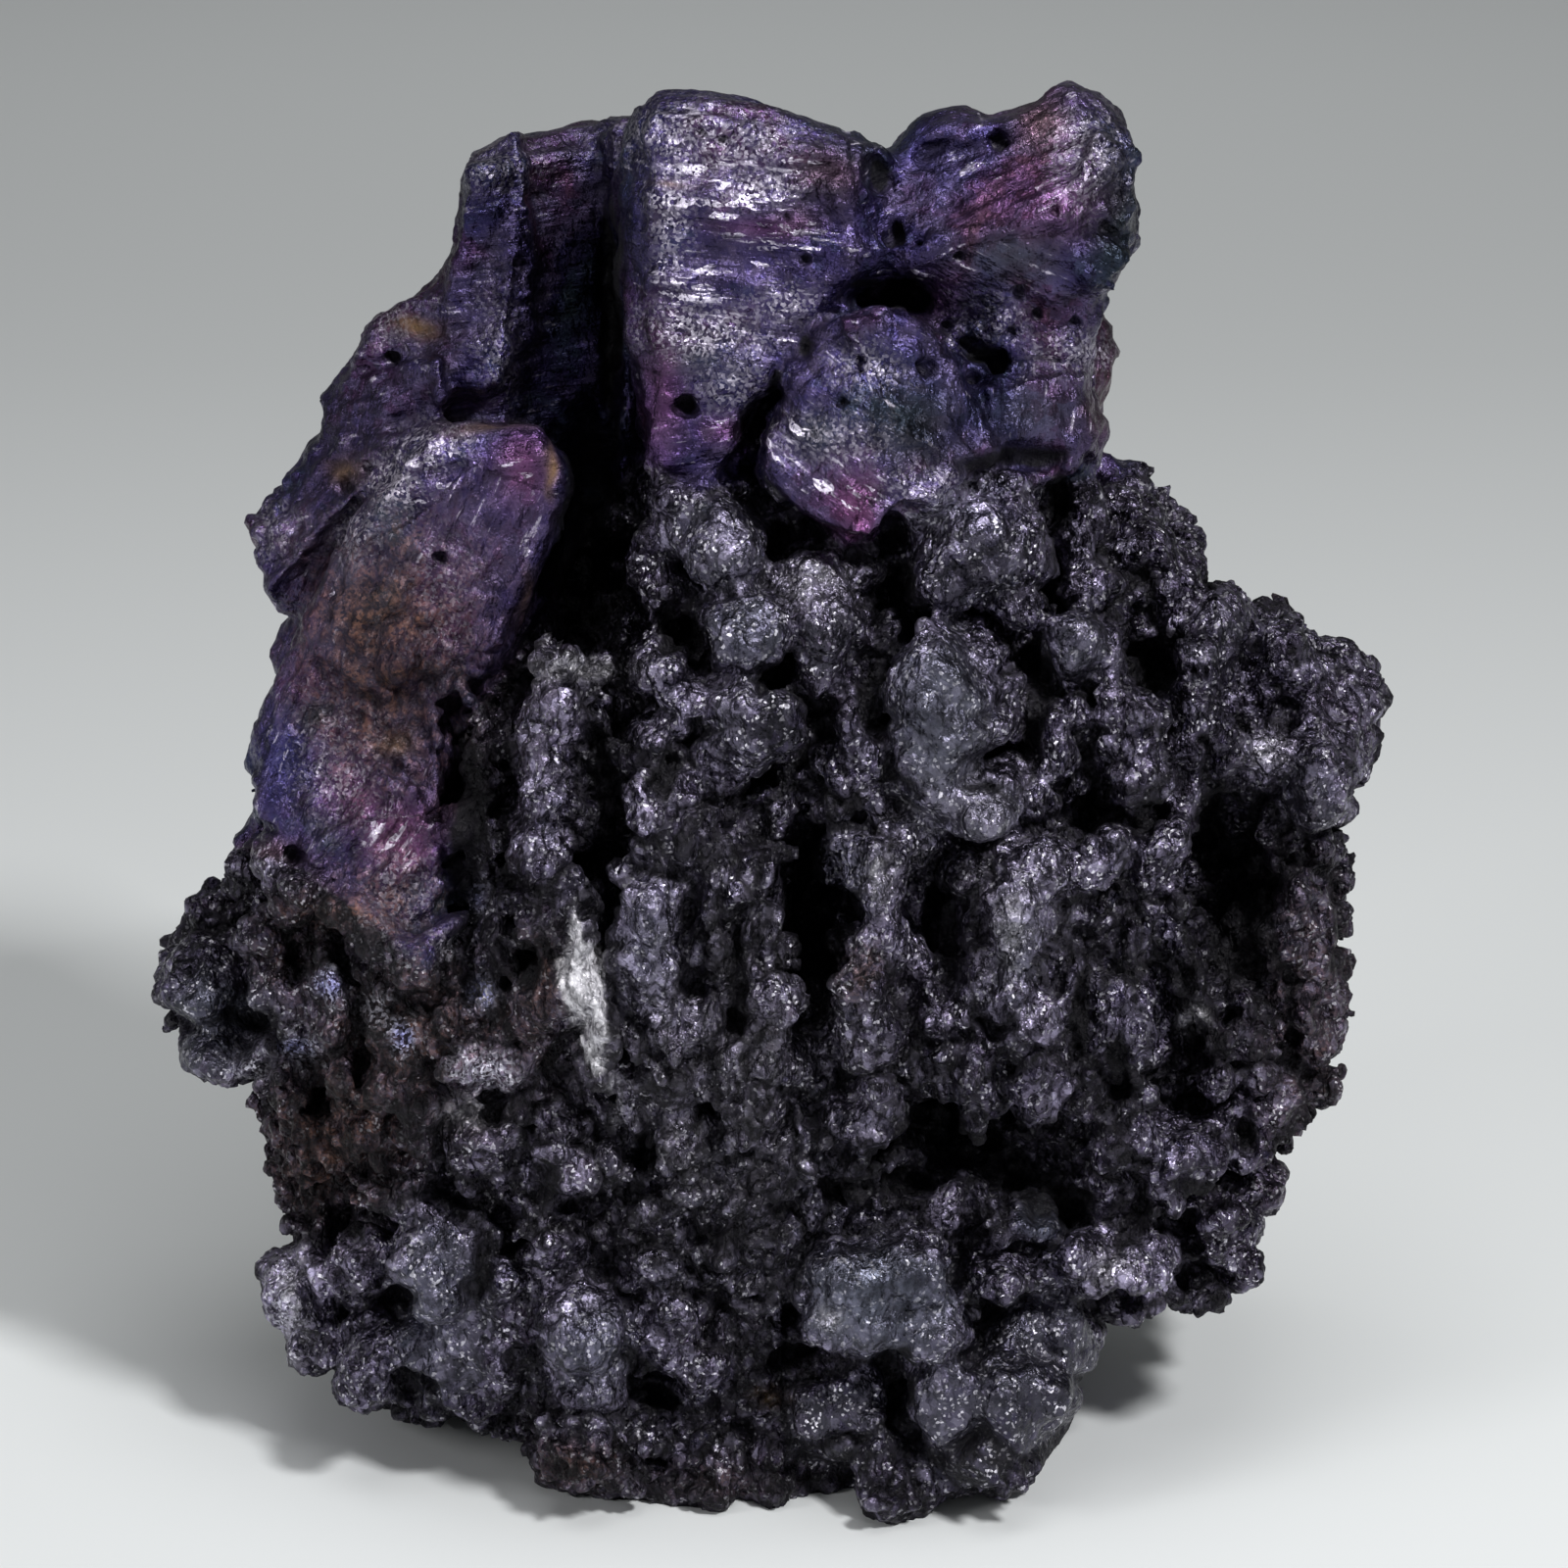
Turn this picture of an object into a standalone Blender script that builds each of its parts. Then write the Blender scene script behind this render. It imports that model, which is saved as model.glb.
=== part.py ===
"""A tarnished chalcocite cluster, cut flat where it stands.

Tall tabular crystals stand over a crust of lumps and ribs. The whole cluster grew as one piece, so it is
one solid. Every form is placed as it is seen from the front, looking a little down on it: across and up in
millimetres on the picture plane, and front, how far it stands forward of the middle of the cluster.
"""

import math
import random

import bmesh
import bpy
from mathutils import Matrix, Vector

MM = 0.001
NODE = "chalcocite_cluster"

# Driving dimensions, in millimetres
VIEW_TILT = math.radians(20.0)  # how far the front view looks down
VIEW_DISTANCE = 170.0  # from the eye to the middle of the cluster
VIEW_MIDDLE = (0.7, 25.3)  # across and up of the point that the front view looks at
MIDDLE_HEIGHT = 24.0  # height of that point above the flat spot
BODY_MIDDLE = (0.3, 17.6)  # across and up of the middle of the crust
BODY_HALF = (20.0, 20.5)  # half width and half height of the crust
FRONT_DEPTH = 10.0  # how far the crust bulges forward
BACK_DEPTH = 10.5  # how far it bulges back
SKIN_BACK_STEP = 1.0  # the widest part of the crust lies this far behind the middle
FLAT_SPOT_GAP = 0.06  # a corner as near to the flat spot as this lies on it
UNDERSIDE = 0.8  # how far the crust stays above the flat spot
FRONT_PITCH = 1.75  # between the small lumps on the front of the crust
BACK_PITCH = 2.7  # between those on its back
FRONT_ROOT = Vector((0.0, 3.2, 0.0))  # how far back a lump on the front is rooted
ROOT_WIDTH = 0.6  # width of a root as a share of its lump
LUMP_SINK = 1.6  # how far below its stated height the middle of a lump lies
RIB_SINK = 1.4  # and the middle of a lump in a rib
STRAY = 0.4  # how far a lump strays from its even place, as a share of the pitch
VOXEL = 0.25  # grain at which the forms grow together
MASS_VOXEL = 0.5  # and the bodies of the inner mass
FACES = 9900  # triangles in the solid before its flat spot is cut

# Outline of the crust, clockwise from under the right crystal: across, up
CRUST_OUTLINE = [
    (11.2, 36.2), (13.0, 34.8), (14.5, 33.4), (15.1, 32.5), (16.3, 31.8), (17.0, 31.1), (18.5, 30.8),
    (19.4, 30.0), (20.2, 29.9), (20.8, 28.8), (21.0, 27.4), (20.8, 26.0), (20.0, 24.6), (19.7, 23.2),
    (19.6, 21.5), (19.9, 20.4), (20.4, 18.9), (20.1, 17.2), (19.5, 15.6), (18.6, 13.8), (17.6, 12.6),
    (17.5, 11.5), (16.8, 9.8), (15.8, 8.1), (14.2, 7.6), (12.0, 7.4), (10.7, 7.6), (11.4, 6.0),
    (10.7, 4.2), (9.4, 2.2), (8.6, 1.3), (7.0, 1.2), (5.6, 0.4), (3.4, 0.2), (1.5, 0.8), (-1.6, 0.5),
    (-5.0, 1.0), (-7.6, 1.6), (-8.0, 3.4), (-10.4, 3.4), (-11.8, 4.6), (-12.8, 4.2), (-13.8, 3.9),
    (-15.0, 5.0), (-16.0, 6.2), (-16.6, 8.0), (-16.7, 9.2), (-16.4, 10.4), (-16.6, 11.2), (-16.3, 12.6),
    (-16.9, 14.6), (-18.4, 15.3), (-19.6, 16.2), (-19.8, 17.4), (-20.8, 18.4), (-20.0, 19.6),
    (-19.3, 20.9), (-18.4, 21.8), (-17.4, 23.8), (-14.0, 26.0), (-9.0, 28.5), (-4.5, 29.0), (-4.5, 34.0),
    (0.0, 36.5), (6.0, 37.5),
]

# Tabular crystals with flat faces: outline across, up; front of the face at the outline's middle; how
# much the face comes forward per mm across and per mm up; thickness; width of the bevel round the face
CRYSTALS = {
    "centre": (
        [(-3.6, 48.8), (-1.9, 48.9), (0.6, 48.2), (2.4, 47.6), (4.2, 46.7), (4.0, 44.6), (3.6, 42.4),
         (2.2, 41.4), (0.9, 39.6), (-0.4, 38.3), (-1.2, 36.4), (-2.8, 35.4), (-3.9, 36.2), (-4.3, 38.6),
         (-4.6, 41.0), (-5.0, 43.2), (-5.0, 45.6), (-4.8, 47.2)],
        5.2, (0.10, -0.16), 8.5, 0.9),
    "right_shoulder": (
        [(3.4, 45.2), (4.2, 46.7), (5.1, 47.8), (5.7, 48.2), (6.9, 48.4), (7.5, 47.8), (8.9, 48.3),
         (10.3, 49.1), (11.3, 48.8), (12.2, 48.0), (12.8, 46.6), (12.4, 44.6), (9.5, 43.6), (6.0, 42.8),
         (3.6, 42.6)],
        3.4, (0.03, -0.42), 8.0, 0.7),
    "right_face": (
        [(3.9, 43.6), (5.4, 44.6), (7.6, 45.3), (10.4, 46.4), (12.3, 46.8), (12.7, 45.2), (12.7, 43.8),
         (11.9, 42.4), (10.2, 42.0), (8.4, 42.6), (6.6, 42.2), (5.0, 42.4)],
        5.2, (-0.06, -0.06), 9.0, 0.6),
    "right_middle": (
        [(5.6, 42.8), (8.6, 43.0), (11.8, 42.8), (11.3, 41.0), (11.0, 39.0), (8.8, 38.6), (6.6, 39.0),
         (5.8, 40.6)],
        4.2, (-0.12, -0.04), 8.0, 0.6),
    "right_low": (
        [(6.8, 39.0), (8.8, 39.5), (10.9, 39.3), (11.3, 38.2), (11.4, 36.8), (10.4, 35.8), (8.4, 35.8),
         (7.4, 36.5), (6.5, 37.6)],
        5.4, (-0.16, -0.14), 8.0, 0.6),
    "right_foot": (
        [(10.4, 39.2), (11.2, 38.9), (11.8, 37.5), (11.4, 36.0), (9.8, 35.6), (9.2, 37.6)],
        2.2, (0.0, 0.0), 5.0, 0.5),
    "arrow": (
        [(2.0, 40.8), (2.8, 41.3), (4.1, 41.6), (5.3, 41.3), (6.1, 40.6), (6.5, 39.2), (7.2, 37.4),
         (7.7, 36.4), (6.2, 35.3), (4.7, 34.3), (3.0, 33.6), (2.3, 34.0), (0.9, 34.8), (-0.3, 35.9),
         (0.3, 37.8), (1.1, 39.0)],
        7.6, (-0.10, -0.10), 7.5, 0.8),
    "left_tall": (
        [(-10.2, 45.2), (-10.0, 46.6), (-8.8, 47.3), (-6.4, 47.8), (-4.2, 48.0), (-3.0, 47.0),
         (-3.4, 40.0), (-4.6, 33.0), (-9.0, 31.0), (-11.6, 35.0), (-11.2, 40.6), (-10.8, 43.0)],
        -2.2, (-0.30, -0.05), 7.5, 0.8),
    "left_tall_edge": (
        [(-10.3, 45.0), (-10.0, 46.5), (-8.6, 46.8), (-8.4, 43.0), (-9.0, 38.5), (-11.2, 38.0),
         (-10.9, 42.6)],
        0.2, (-0.30, -0.05), 5.0, 0.5),
    "left_step": (
        [(-10.8, 42.3), (-11.9, 41.7), (-13.0, 41.1), (-15.0, 38.4), (-14.8, 37.3), (-13.4, 35.6),
         (-9.0, 34.0), (-8.0, 39.0), (-9.4, 42.0)],
        -0.8, (-0.05, 0.16), 7.0, 0.5),
    "left_low_step": (
        [(-14.6, 37.6), (-17.5, 34.1), (-17.1, 33.0), (-16.6, 31.4), (-15.4, 31.0), (-12.0, 31.0),
         (-11.0, 35.0), (-12.6, 37.0)],
        0.3, (0.22, 0.10), 6.5, 0.5),
    "tongue": (
        [(-12.3, 37.2), (-11.2, 37.5), (-9.4, 37.5), (-7.4, 37.4), (-6.7, 36.4), (-6.5, 35.4),
         (-7.2, 33.8), (-8.0, 31.6), (-9.2, 29.2), (-11.0, 28.0), (-11.6, 26.0), (-15.6, 27.0),
         (-15.6, 31.0), (-14.4, 33.4), (-13.2, 35.6)],
        4.0, (0.05, -0.12), 6.5, 0.9),
    "tongue_foot": (
        [(-15.6, 31.0), (-16.2, 29.4), (-17.4, 27.0), (-17.6, 25.9), (-17.0, 25.2), (-17.5, 24.3),
         (-16.2, 23.3), (-13.6, 22.6), (-11.0, 23.2), (-10.8, 26.0), (-11.4, 29.4), (-13.6, 31.6)],
        4.2, (0.22, 0.04), 6.5, 0.8),
    "hook": (
        [(-15.9, 23.4), (-15.6, 22.2), (-14.4, 21.2), (-13.0, 20.4), (-12.2, 19.4), (-11.6, 19.4),
         (-11.0, 20.6), (-10.3, 22.4), (-10.6, 23.9), (-12.4, 24.6), (-14.0, 24.4)],
        7.0, (0.04, -0.20), 5.5, 0.6),
    "base_left": (
        [(-8.0, 4.2), (-7.8, 1.6), (-5.0, 0.9), (-1.6, 0.3), (-1.5, 4.5)],
        6.4, (0.04, 0.0), 9.0, 0.3),
    "base_middle": (
        [(-1.9, 4.5), (-1.4, 0.6), (2.2, 0.4), (3.0, 4.5)],
        6.0, (0.0, 0.1), 10.0, 0.3),
    "base_crystal": (
        [(0.9, 3.4), (1.2, 2.8), (3.0, 2.2), (3.6, 2.4), (4.1, 3.8), (3.9, 5.2), (2.6, 5.6), (1.4, 4.8)],
        7.6, (-0.1, -0.15), 5.0, 0.4),
    "foot_crystal": (
        [(5.0, 3.6), (5.4, 2.6), (6.6, 1.4), (8.4, 1.1), (9.0, 1.6), (8.6, 3.6), (7.6, 5.6), (6.4, 6.0),
         (5.2, 5.0)],
        8.6, (-0.25, 0.06), 6.0, 0.6),
    "corner_crystal": (
        [(7.4, 5.6), (7.8, 7.2), (9.0, 8.0), (10.4, 7.7), (11.3, 6.2), (11.2, 5.0), (10.2, 3.2),
         (9.2, 1.9), (8.2, 3.2)],
        6.6, (-0.20, -0.16), 7.0, 0.7),
    "spike": (
        [(-6.4, 20.9), (-5.9, 20.0), (-5.2, 18.4), (-5.3, 16.2), (-5.8, 15.2), (-6.2, 15.6),
         (-6.8, 18.0), (-6.9, 19.6)],
        11.4, (-0.2, -0.10), 3.5, 0.25),
}

# Rounded lumps that stand out of the crust: across, up, how proud of the crust the middle stands, half
# width, half height, half depth, lean in degrees to the left
LUMPS = [
    # under the centre crystal
    (-2.4, 34.6, 2.6, 1.5, 1.7, 1.8, 10), (-1.3, 33.2, 2.8, 1.4, 1.2, 1.6, 0),
    (-4.0, 33.0, 1.6, 0.7, 1.1, 1.0, 0), (-3.0, 31.4, 1.4, 0.9, 1.0, 1.1, 20),
    (-0.6, 30.6, 2.6, 1.6, 1.6, 1.7, 10), (-3.4, 29.2, 1.8, 1.0, 1.1, 1.2, 0),
    (-2.2, 28.0, 2.2, 1.1, 1.2, 1.3, 0), (-0.2, 27.4, 2.6, 1.6, 1.7, 1.6, -20),
    (-3.6, 27.0, 1.6, 0.8, 0.9, 1.0, 0), (-1.6, 26.4, 1.8, 1.1, 1.0, 1.2, 0),
    (1.6, 32.4, 2.0, 1.4, 0.9, 1.5, 0), (2.0, 30.9, 2.6, 1.3, 1.3, 1.4, 0),
    (1.9, 29.3, 2.2, 0.7, 1.1, 1.0, 0), (3.4, 33.0, 0.8, 1.4, 0.8, 1.2, 0),
    # on the right crystals
    (7.1, 40.9, 4.1, 1.2, 1.0, 1.6, 0), (8.9, 43.4, 4.2, 1.9, 0.9, 1.4, 15),
    (5.4, 43.6, 3.7, 1.2, 1.0, 1.4, 0), (11.6, 44.6, 2.6, 1.1, 1.8, 1.6, 0),
    (9.6, 40.4, 3.4, 1.1, 0.9, 1.4, 0), (8.6, 37.6, 4.6, 1.4, 0.9, 1.4, 0),
    # the thumb and its neighbours
    (5.5, 28.9, 2.8, 1.3, 1.7, 1.8, 0), (6.3, 27.4, 2.6, 1.6, 1.6, 1.8, 0),
    (5.6, 26.0, 2.5, 1.3, 1.6, 1.6, 0), (7.2, 24.6, 2.6, 1.6, 1.2, 1.5, 20),
    (7.7, 29.4, 2.3, 0.6, 0.8, 0.8, 0), (3.2, 27.4, 1.8, 0.9, 1.9, 1.4, 0),
    (2.7, 25.0, 1.4, 1.1, 1.5, 1.3, 0), (4.6, 23.6, 1.2, 1.2, 1.3, 1.2, -25),
    (9.0, 27.8, 2.0, 0.9, 1.2, 1.1, 0), (9.9, 26.8, 2.0, 0.7, 1.3, 1.0, 15),
    (10.9, 27.7, 2.2, 0.8, 0.6, 0.9, 0), (8.9, 25.2, 1.9, 0.9, 0.9, 1.0, 0),
    # the right shoulder of the crust
    (7.2, 33.6, 2.6, 2.3, 2.1, 2.2, 0), (5.9, 32.2, 2.2, 1.0, 1.4, 1.4, 0),
    (8.6, 31.7, 2.2, 1.2, 1.1, 1.3, 0), (9.0, 35.6, 2.0, 1.5, 0.9, 1.4, 15),
    (10.6, 34.2, 2.0, 0.9, 1.6, 1.3, 0), (12.4, 33.9, 1.4, 1.3, 1.5, 1.6, 20),
    (14.1, 32.9, 0.6, 0.9, 1.0, 1.4, 20), (11.0, 32.3, 2.0, 1.1, 0.9, 1.1, 0),
    (10.5, 30.0, 2.7, 1.0, 1.4, 1.2, 0), (11.7, 29.6, 2.5, 0.6, 1.2, 0.9, 0),
    (15.2, 30.9, 1.6, 1.6, 1.4, 1.7, 30), (14.6, 29.6, 2.0, 1.0, 1.2, 1.3, 0),
    (12.3, 27.6, 2.4, 1.4, 1.5, 1.6, 0), (12.8, 25.6, 2.2, 1.3, 1.2, 1.4, 0),
    (14.6, 27.4, 1.8, 0.7, 1.5, 1.1, 0), (15.5, 26.2, 1.6, 0.7, 1.6, 1.1, -10),
    (16.8, 28.0, 1.6, 0.8, 1.0, 1.0, 0), (16.9, 26.4, 2.0, 0.9, 1.0, 1.1, 0),
    (17.6, 30.4, 0.6, 1.1, 0.6, 1.3, 25), (18.2, 28.0, 1.8, 1.0, 1.7, 1.4, 10),
    (18.6, 24.8, 2.0, 1.2, 1.2, 1.5, 0), (19.9, 27.4, 0.6, 0.9, 2.3, 1.6, 0),
    (18.2, 26.2, 1.6, 1.0, 0.9, 1.2, 0), (11.0, 23.2, 1.8, 1.6, 0.9, 1.3, 0),
    (8.9, 22.7, 1.8, 1.3, 0.9, 1.3, 0), (13.6, 23.4, 1.5, 1.3, 0.8, 1.2, 20),
    # the left wing
    (-18.9, 18.6, 1.6, 1.7, 1.6, 2.0, 0), (-20.1, 18.4, 0.4, 0.8, 0.7, 1.2, 0),
    (-18.6, 16.2, 1.2, 1.4, 0.9, 1.5, -10), (-19.0, 20.4, 1.0, 1.0, 0.9, 1.4, 0),
    (-17.9, 22.4, 1.0, 0.9, 1.0, 1.3, 0), (-16.8, 20.6, 1.8, 1.3, 1.1, 1.4, 0),
    (-16.6, 23.1, 1.8, 1.0, 0.7, 1.1, 0), (-16.4, 18.2, 1.6, 1.2, 1.4, 1.4, 0),
    # the lower left
    (-15.9, 8.3, 1.2, 1.2, 1.7, 1.9, 15), (-15.3, 6.4, 1.2, 1.0, 1.0, 1.4, 0),
    (-14.4, 8.8, 2.0, 1.2, 1.0, 1.2, 0), (-14.0, 5.2, 1.4, 1.0, 1.3, 1.4, 0),
    (-12.9, 5.4, 1.6, 0.8, 1.2, 1.1, 0), (-11.3, 8.8, 2.4, 1.3, 2.0, 1.5, 0),
    (-10.9, 5.4, 2.0, 1.3, 2.0, 1.6, 10), (-9.4, 9.0, 1.8, 1.0, 1.9, 1.3, 10),
    (-9.6, 4.6, 1.4, 1.1, 1.4, 1.3, 0), (-8.2, 6.6, 1.0, 0.7, 2.2, 1.1, -15),
    (-7.4, 8.6, 1.0, 0.9, 1.2, 1.0, 0), (-6.2, 6.9, 2.6, 1.5, 1.6, 1.8, 0),
    (-6.8, 4.8, 1.9, 1.1, 1.3, 1.3, 0), (-5.8, 3.6, 1.5, 1.1, 1.0, 1.2, 0),
    (-12.6, 11.4, 1.6, 1.6, 0.9, 1.3, 20), (-9.6, 12.4, 1.5, 1.5, 1.0, 1.2, 15),
    (-6.9, 12.2, 1.5, 1.3, 0.8, 1.1, -10), (-3.9, 6.4, 1.3, 1.0, 1.4, 1.1, 0),
    # the foot and the lower right
    (-3.6, 3.0, 1.2, 1.6, 0.9, 1.3, 0), (-1.4, 3.4, 1.0, 1.1, 0.9, 1.1, 0),
    (4.9, 1.3, 2.0, 1.2, 1.1, 1.8, 0), (2.4, 7.2, 3.0, 1.0, 1.0, 1.1, 0),
    (3.0, 8.6, 2.6, 1.6, 1.1, 1.4, 0), (5.2, 8.9, 2.6, 1.5, 1.2, 1.4, 0),
    (5.6, 7.0, 2.8, 1.5, 1.5, 1.5, -20), (3.9, 7.2, 3.0, 1.0, 1.2, 1.3, 0),
    (8.0, 8.4, 2.0, 1.3, 0.9, 1.2, 0), (9.3, 10.5, 1.6, 0.8, 0.9, 1.0, 0),
    (8.0, 10.4, 1.4, 0.7, 0.9, 1.0, 0), (6.4, 10.8, 0.6, 0.7, 1.0, 0.9, 0),
    (10.4, 9.4, 1.9, 1.0, 0.8, 1.1, 0), (12.2, 8.8, 2.4, 1.7, 1.1, 1.4, 15),
    (14.9, 9.6, 1.4, 1.0, 0.9, 1.1, 0), (16.2, 9.2, 0.8, 0.9, 1.1, 1.4, 0),
    (14.4, 12.5, 2.2, 1.3, 1.1, 1.4, 0), (16.9, 11.7, 1.0, 0.9, 0.9, 1.4, 0),
    (15.4, 11.0, 1.7, 1.1, 0.8, 1.1, 0), (13.0, 10.8, 1.8, 1.2, 0.8, 1.1, 10),
    (12.6, 7.8, 0.9, 1.6, 0.6, 1.6, 0), (14.8, 8.0, 0.8, 1.2, 0.6, 1.5, 0),
    (17.4, 13.6, 1.4, 1.0, 1.0, 1.4, 0), (3.3, 13.6, 1.6, 1.5, 1.1, 1.3, 0),
    (3.6, 12.1, 1.2, 1.0, 0.9, 1.1, 0),
]

# Ribs that run down the crust, each a row of lumps: across and up of the top, of the foot, half width,
# and how proud of the crust it stands at the top and at the foot
RIBS = [
    ((-7.2, 28.6), (-7.0, 21.6), 0.95, 2.4, 2.6), ((-7.4, 22.8), (-7.2, 18.6), 1.1, 2.6, 2.0),
    ((-9.8, 26.6), (-9.2, 17.2), 0.6, 1.2, 0.8), ((-5.6, 28.2), (-5.8, 23.8), 0.6, 1.4, 0.8),
    ((-3.6, 25.4), (-3.9, 20.6), 0.95, 2.2, 2.5), ((-4.2, 21.6), (-3.6, 15.6), 1.0, 2.6, 1.8),
    ((-2.3, 23.2), (-0.9, 17.6), 0.55, 2.2, 1.4), ((-0.3, 22.4), (-0.8, 16.6), 0.6, 1.8, 1.5),
    ((0.4, 19.2), (-0.6, 14.4), 0.8, 1.4, 1.6), ((3.9, 22.8), (3.6, 17.8), 0.85, 1.6, 2.0),
    ((3.2, 18.8), (4.2, 14.6), 1.0, 1.8, 1.6), ((6.9, 22.4), (5.8, 16.0), 0.6, 1.0, 1.0),
    ((8.6, 21.6), (8.9, 15.0), 1.0, 2.4, 2.0), ((7.4, 19.4), (6.9, 14.6), 0.8, 1.6, 1.5),
    ((10.6, 21.0), (10.9, 14.6), 0.7, 1.4, 1.2), ((12.2, 20.4), (12.2, 14.2), 0.8, 1.0, 1.2),
    ((13.4, 21.4), (15.6, 15.6), 0.6, 0.8, 1.2), ((16.0, 18.6), (17.4, 14.6), 0.7, 0.8, 1.4),
    ((17.2, 20.4), (18.8, 15.4), 0.8, 1.2, 1.2), ((18.4, 23.8), (19.3, 17.4), 0.9, 1.2, 0.8),
    ((17.8, 22.6), (18.2, 18.8), 0.6, 1.6, 1.4), ((-15.0, 19.4), (-14.4, 15.4), 0.7, 1.4, 1.0),
    ((-13.2, 18.4), (-13.0, 14.4), 0.7, 1.2, 1.0), ((-11.4, 18.8), (-11.0, 14.6), 0.7, 1.2, 1.0),
    ((-16.2, 16.2), (-15.4, 12.8), 0.7, 0.8, 0.8), ((-8.4, 17.4), (-7.6, 13.6), 0.8, 1.2, 1.2),
    ((-10.0, 16.4), (-9.2, 13.8), 0.9, 1.6, 1.4),
]

# Hollows and clefts in the crust: across, up, front of the middle, half width, half height, half depth,
# lean in degrees to the left
HOLLOWS = [
    (-6.0, 33.5, 4.0, 1.1, 6.0, 9.0, 0), (-5.6, 38.5, 3.0, 0.9, 7.5, 8.0, 3),
    (-9.6, 24.0, 9.0, 0.9, 4.4, 6.5, 0), (-5.3, 25.0, 9.5, 0.7, 4.0, 6.0, 3),
    (1.4, 20.6, 10.0, 0.9, 4.2, 7.5, 6), (7.4, 12.5, 10.0, 2.2, 1.5, 8.5, -12),
    (3.6, 11.2, 10.0, 1.4, 0.8, 6.5, 10), (13.4, 29.4, 9.0, 1.1, 1.4, 7.5, 15),
    (15.8, 21.2, 7.0, 1.7, 3.6, 7.5, -8), (14.4, 16.8, 8.0, 0.8, 2.2, 6.0, -10),
    (0.9, 6.0, 9.0, 1.3, 0.8, 5.0, -10), (2.6, 34.6, 6.0, 1.1, 0.9, 4.5, 0),
    (9.0, 30.0, 9.5, 0.8, 0.8, 4.5, 0), (4.6, 5.0, 9.0, 0.7, 1.1, 4.0, 15),
    (11.0, 24.9, 9.5, 1.4, 0.7, 5.0, 0), (-12.2, 17.4, 7.5, 1.0, 1.2, 4.5, 10),
    (10.0, 12.2, 10.0, 0.8, 1.0, 5.0, 0), (6.3, 20.4, 10.0, 0.6, 2.4, 6.0, 0),
    (-3.4, 4.4, 8.0, 1.1, 0.6, 4.0, 0), (7.6, 35.6, 8.0, 1.6, 0.4, 3.5, 10),
]

# The mass inside, which carries every form: across, up, front, half width, half height, half depth
CORES = [
    (0.3, 17.0, -1.6, 17.2, 15.4, 9.4), (8.0, 26.5, -1.6, 10.5, 7.5, 8.0), (-4.5, 9.0, -0.8, 11.0, 6.0, 8.6),
    (4.6, 9.0, -1.0, 8.2, 5.6, 8.4), (-12.6, 24.0, -1.6, 4.4, 7.0, 5.0), (3.0, 33.5, -1.8, 7.8, 6.5, 6.0),
    (-10.0, 33.0, -4.0, 5.0, 7.0, 3.8), (-0.5, 4.8, -1.0, 7.6, 5.6, 7.2), (14.0, 22.0, -1.2, 6.0, 9.0, 5.8),
    (-13.6, 15.0, -1.4, 3.8, 6.0, 5.4), (-4.0, 30.0, -5.0, 8.0, 8.0, 4.0), (4.0, 41.5, -1.5, 7.0, 5.0, 3.0),
    (12.0, 12.6, -1.0, 5.0, 5.0, 6.0), (-11.4, 8.2, -1.0, 5.0, 4.4, 6.0), (-16.4, 18.4, -1.0, 3.4, 2.8, 3.4),
    (5.4, 5.4, -0.6, 4.4, 4.4, 6.4),
]


def seen(across, up, front):
    """The point, in millimetres, that shows at across and up in the front view, that far forward."""
    eye = Vector((0, -math.cos(VIEW_TILT), math.sin(VIEW_TILT))) * VIEW_DISTANCE
    on_plane = Vector((across - VIEW_MIDDLE[0], 0, 0))
    on_plane += (up - VIEW_MIDDLE[1]) * Vector((0, math.sin(VIEW_TILT), math.cos(VIEW_TILT)))
    along = (-front - eye.y) / (on_plane.y - eye.y)
    point = eye + (on_plane - eye) * along
    return point + Vector((VIEW_MIDDLE[0], 0, MIDDLE_HEIGHT))


def skin(across, up):
    """How far forward the crust's surface bulges there, and how far back its other side lies."""
    x = (across - BODY_MIDDLE[0]) / BODY_HALF[0]
    z = (up - BODY_MIDDLE[1]) / BODY_HALF[1]
    rise = math.sqrt(max(0.0, 1.0 - x * x - z * z))
    return FRONT_DEPTH * rise - SKIN_BACK_STEP, -BACK_DEPTH * rise - SKIN_BACK_STEP


def inside(outline, across, up):
    """Whether the point lies inside the closed outline."""
    found = False
    for (x0, z0), (x1, z1) in zip(outline, outline[1:] + outline[:1]):
        if (z0 > up) != (z1 > up) and across < x0 + (up - z0) / (z1 - z0) * (x1 - x0):
            found = not found
    return found


class Forms:
    """The corners and faces of many closed bodies, gathered to become one mesh."""

    def __init__(self):
        self.corners = []
        self.faces = []

    def add(self, corners, faces):
        first = len(self.corners)
        self.corners += [tuple(c * MM) for c in corners]
        self.faces += [[first + i for i in face] for face in faces]

    def add_object(self, thing):
        self.add([v.co / MM for v in thing.data.vertices], [p.vertices for p in thing.data.polygons])
        bpy.data.objects.remove(thing)

    def made(self, name):
        data = bpy.data.meshes.new(name)
        data.from_pydata(self.corners, [], self.faces)
        thing = bpy.data.objects.new(name, data)
        bpy.context.scene.collection.objects.link(thing)
        return thing


def add_hull(forms, points):
    """Adds the convex body round the points."""
    mesh = bmesh.new()
    made = bmesh.ops.convex_hull(mesh, input=[mesh.verts.new(p) for p in points])
    unused = {v for v in made["geom_interior"] + made["geom_unused"] if isinstance(v, bmesh.types.BMVert)}
    bmesh.ops.delete(mesh, geom=list(unused), context="VERTS")
    mesh.verts.index_update()
    forms.add([v.co for v in mesh.verts], [[v.index for v in f.verts] for f in mesh.faces])
    mesh.free()


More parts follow.
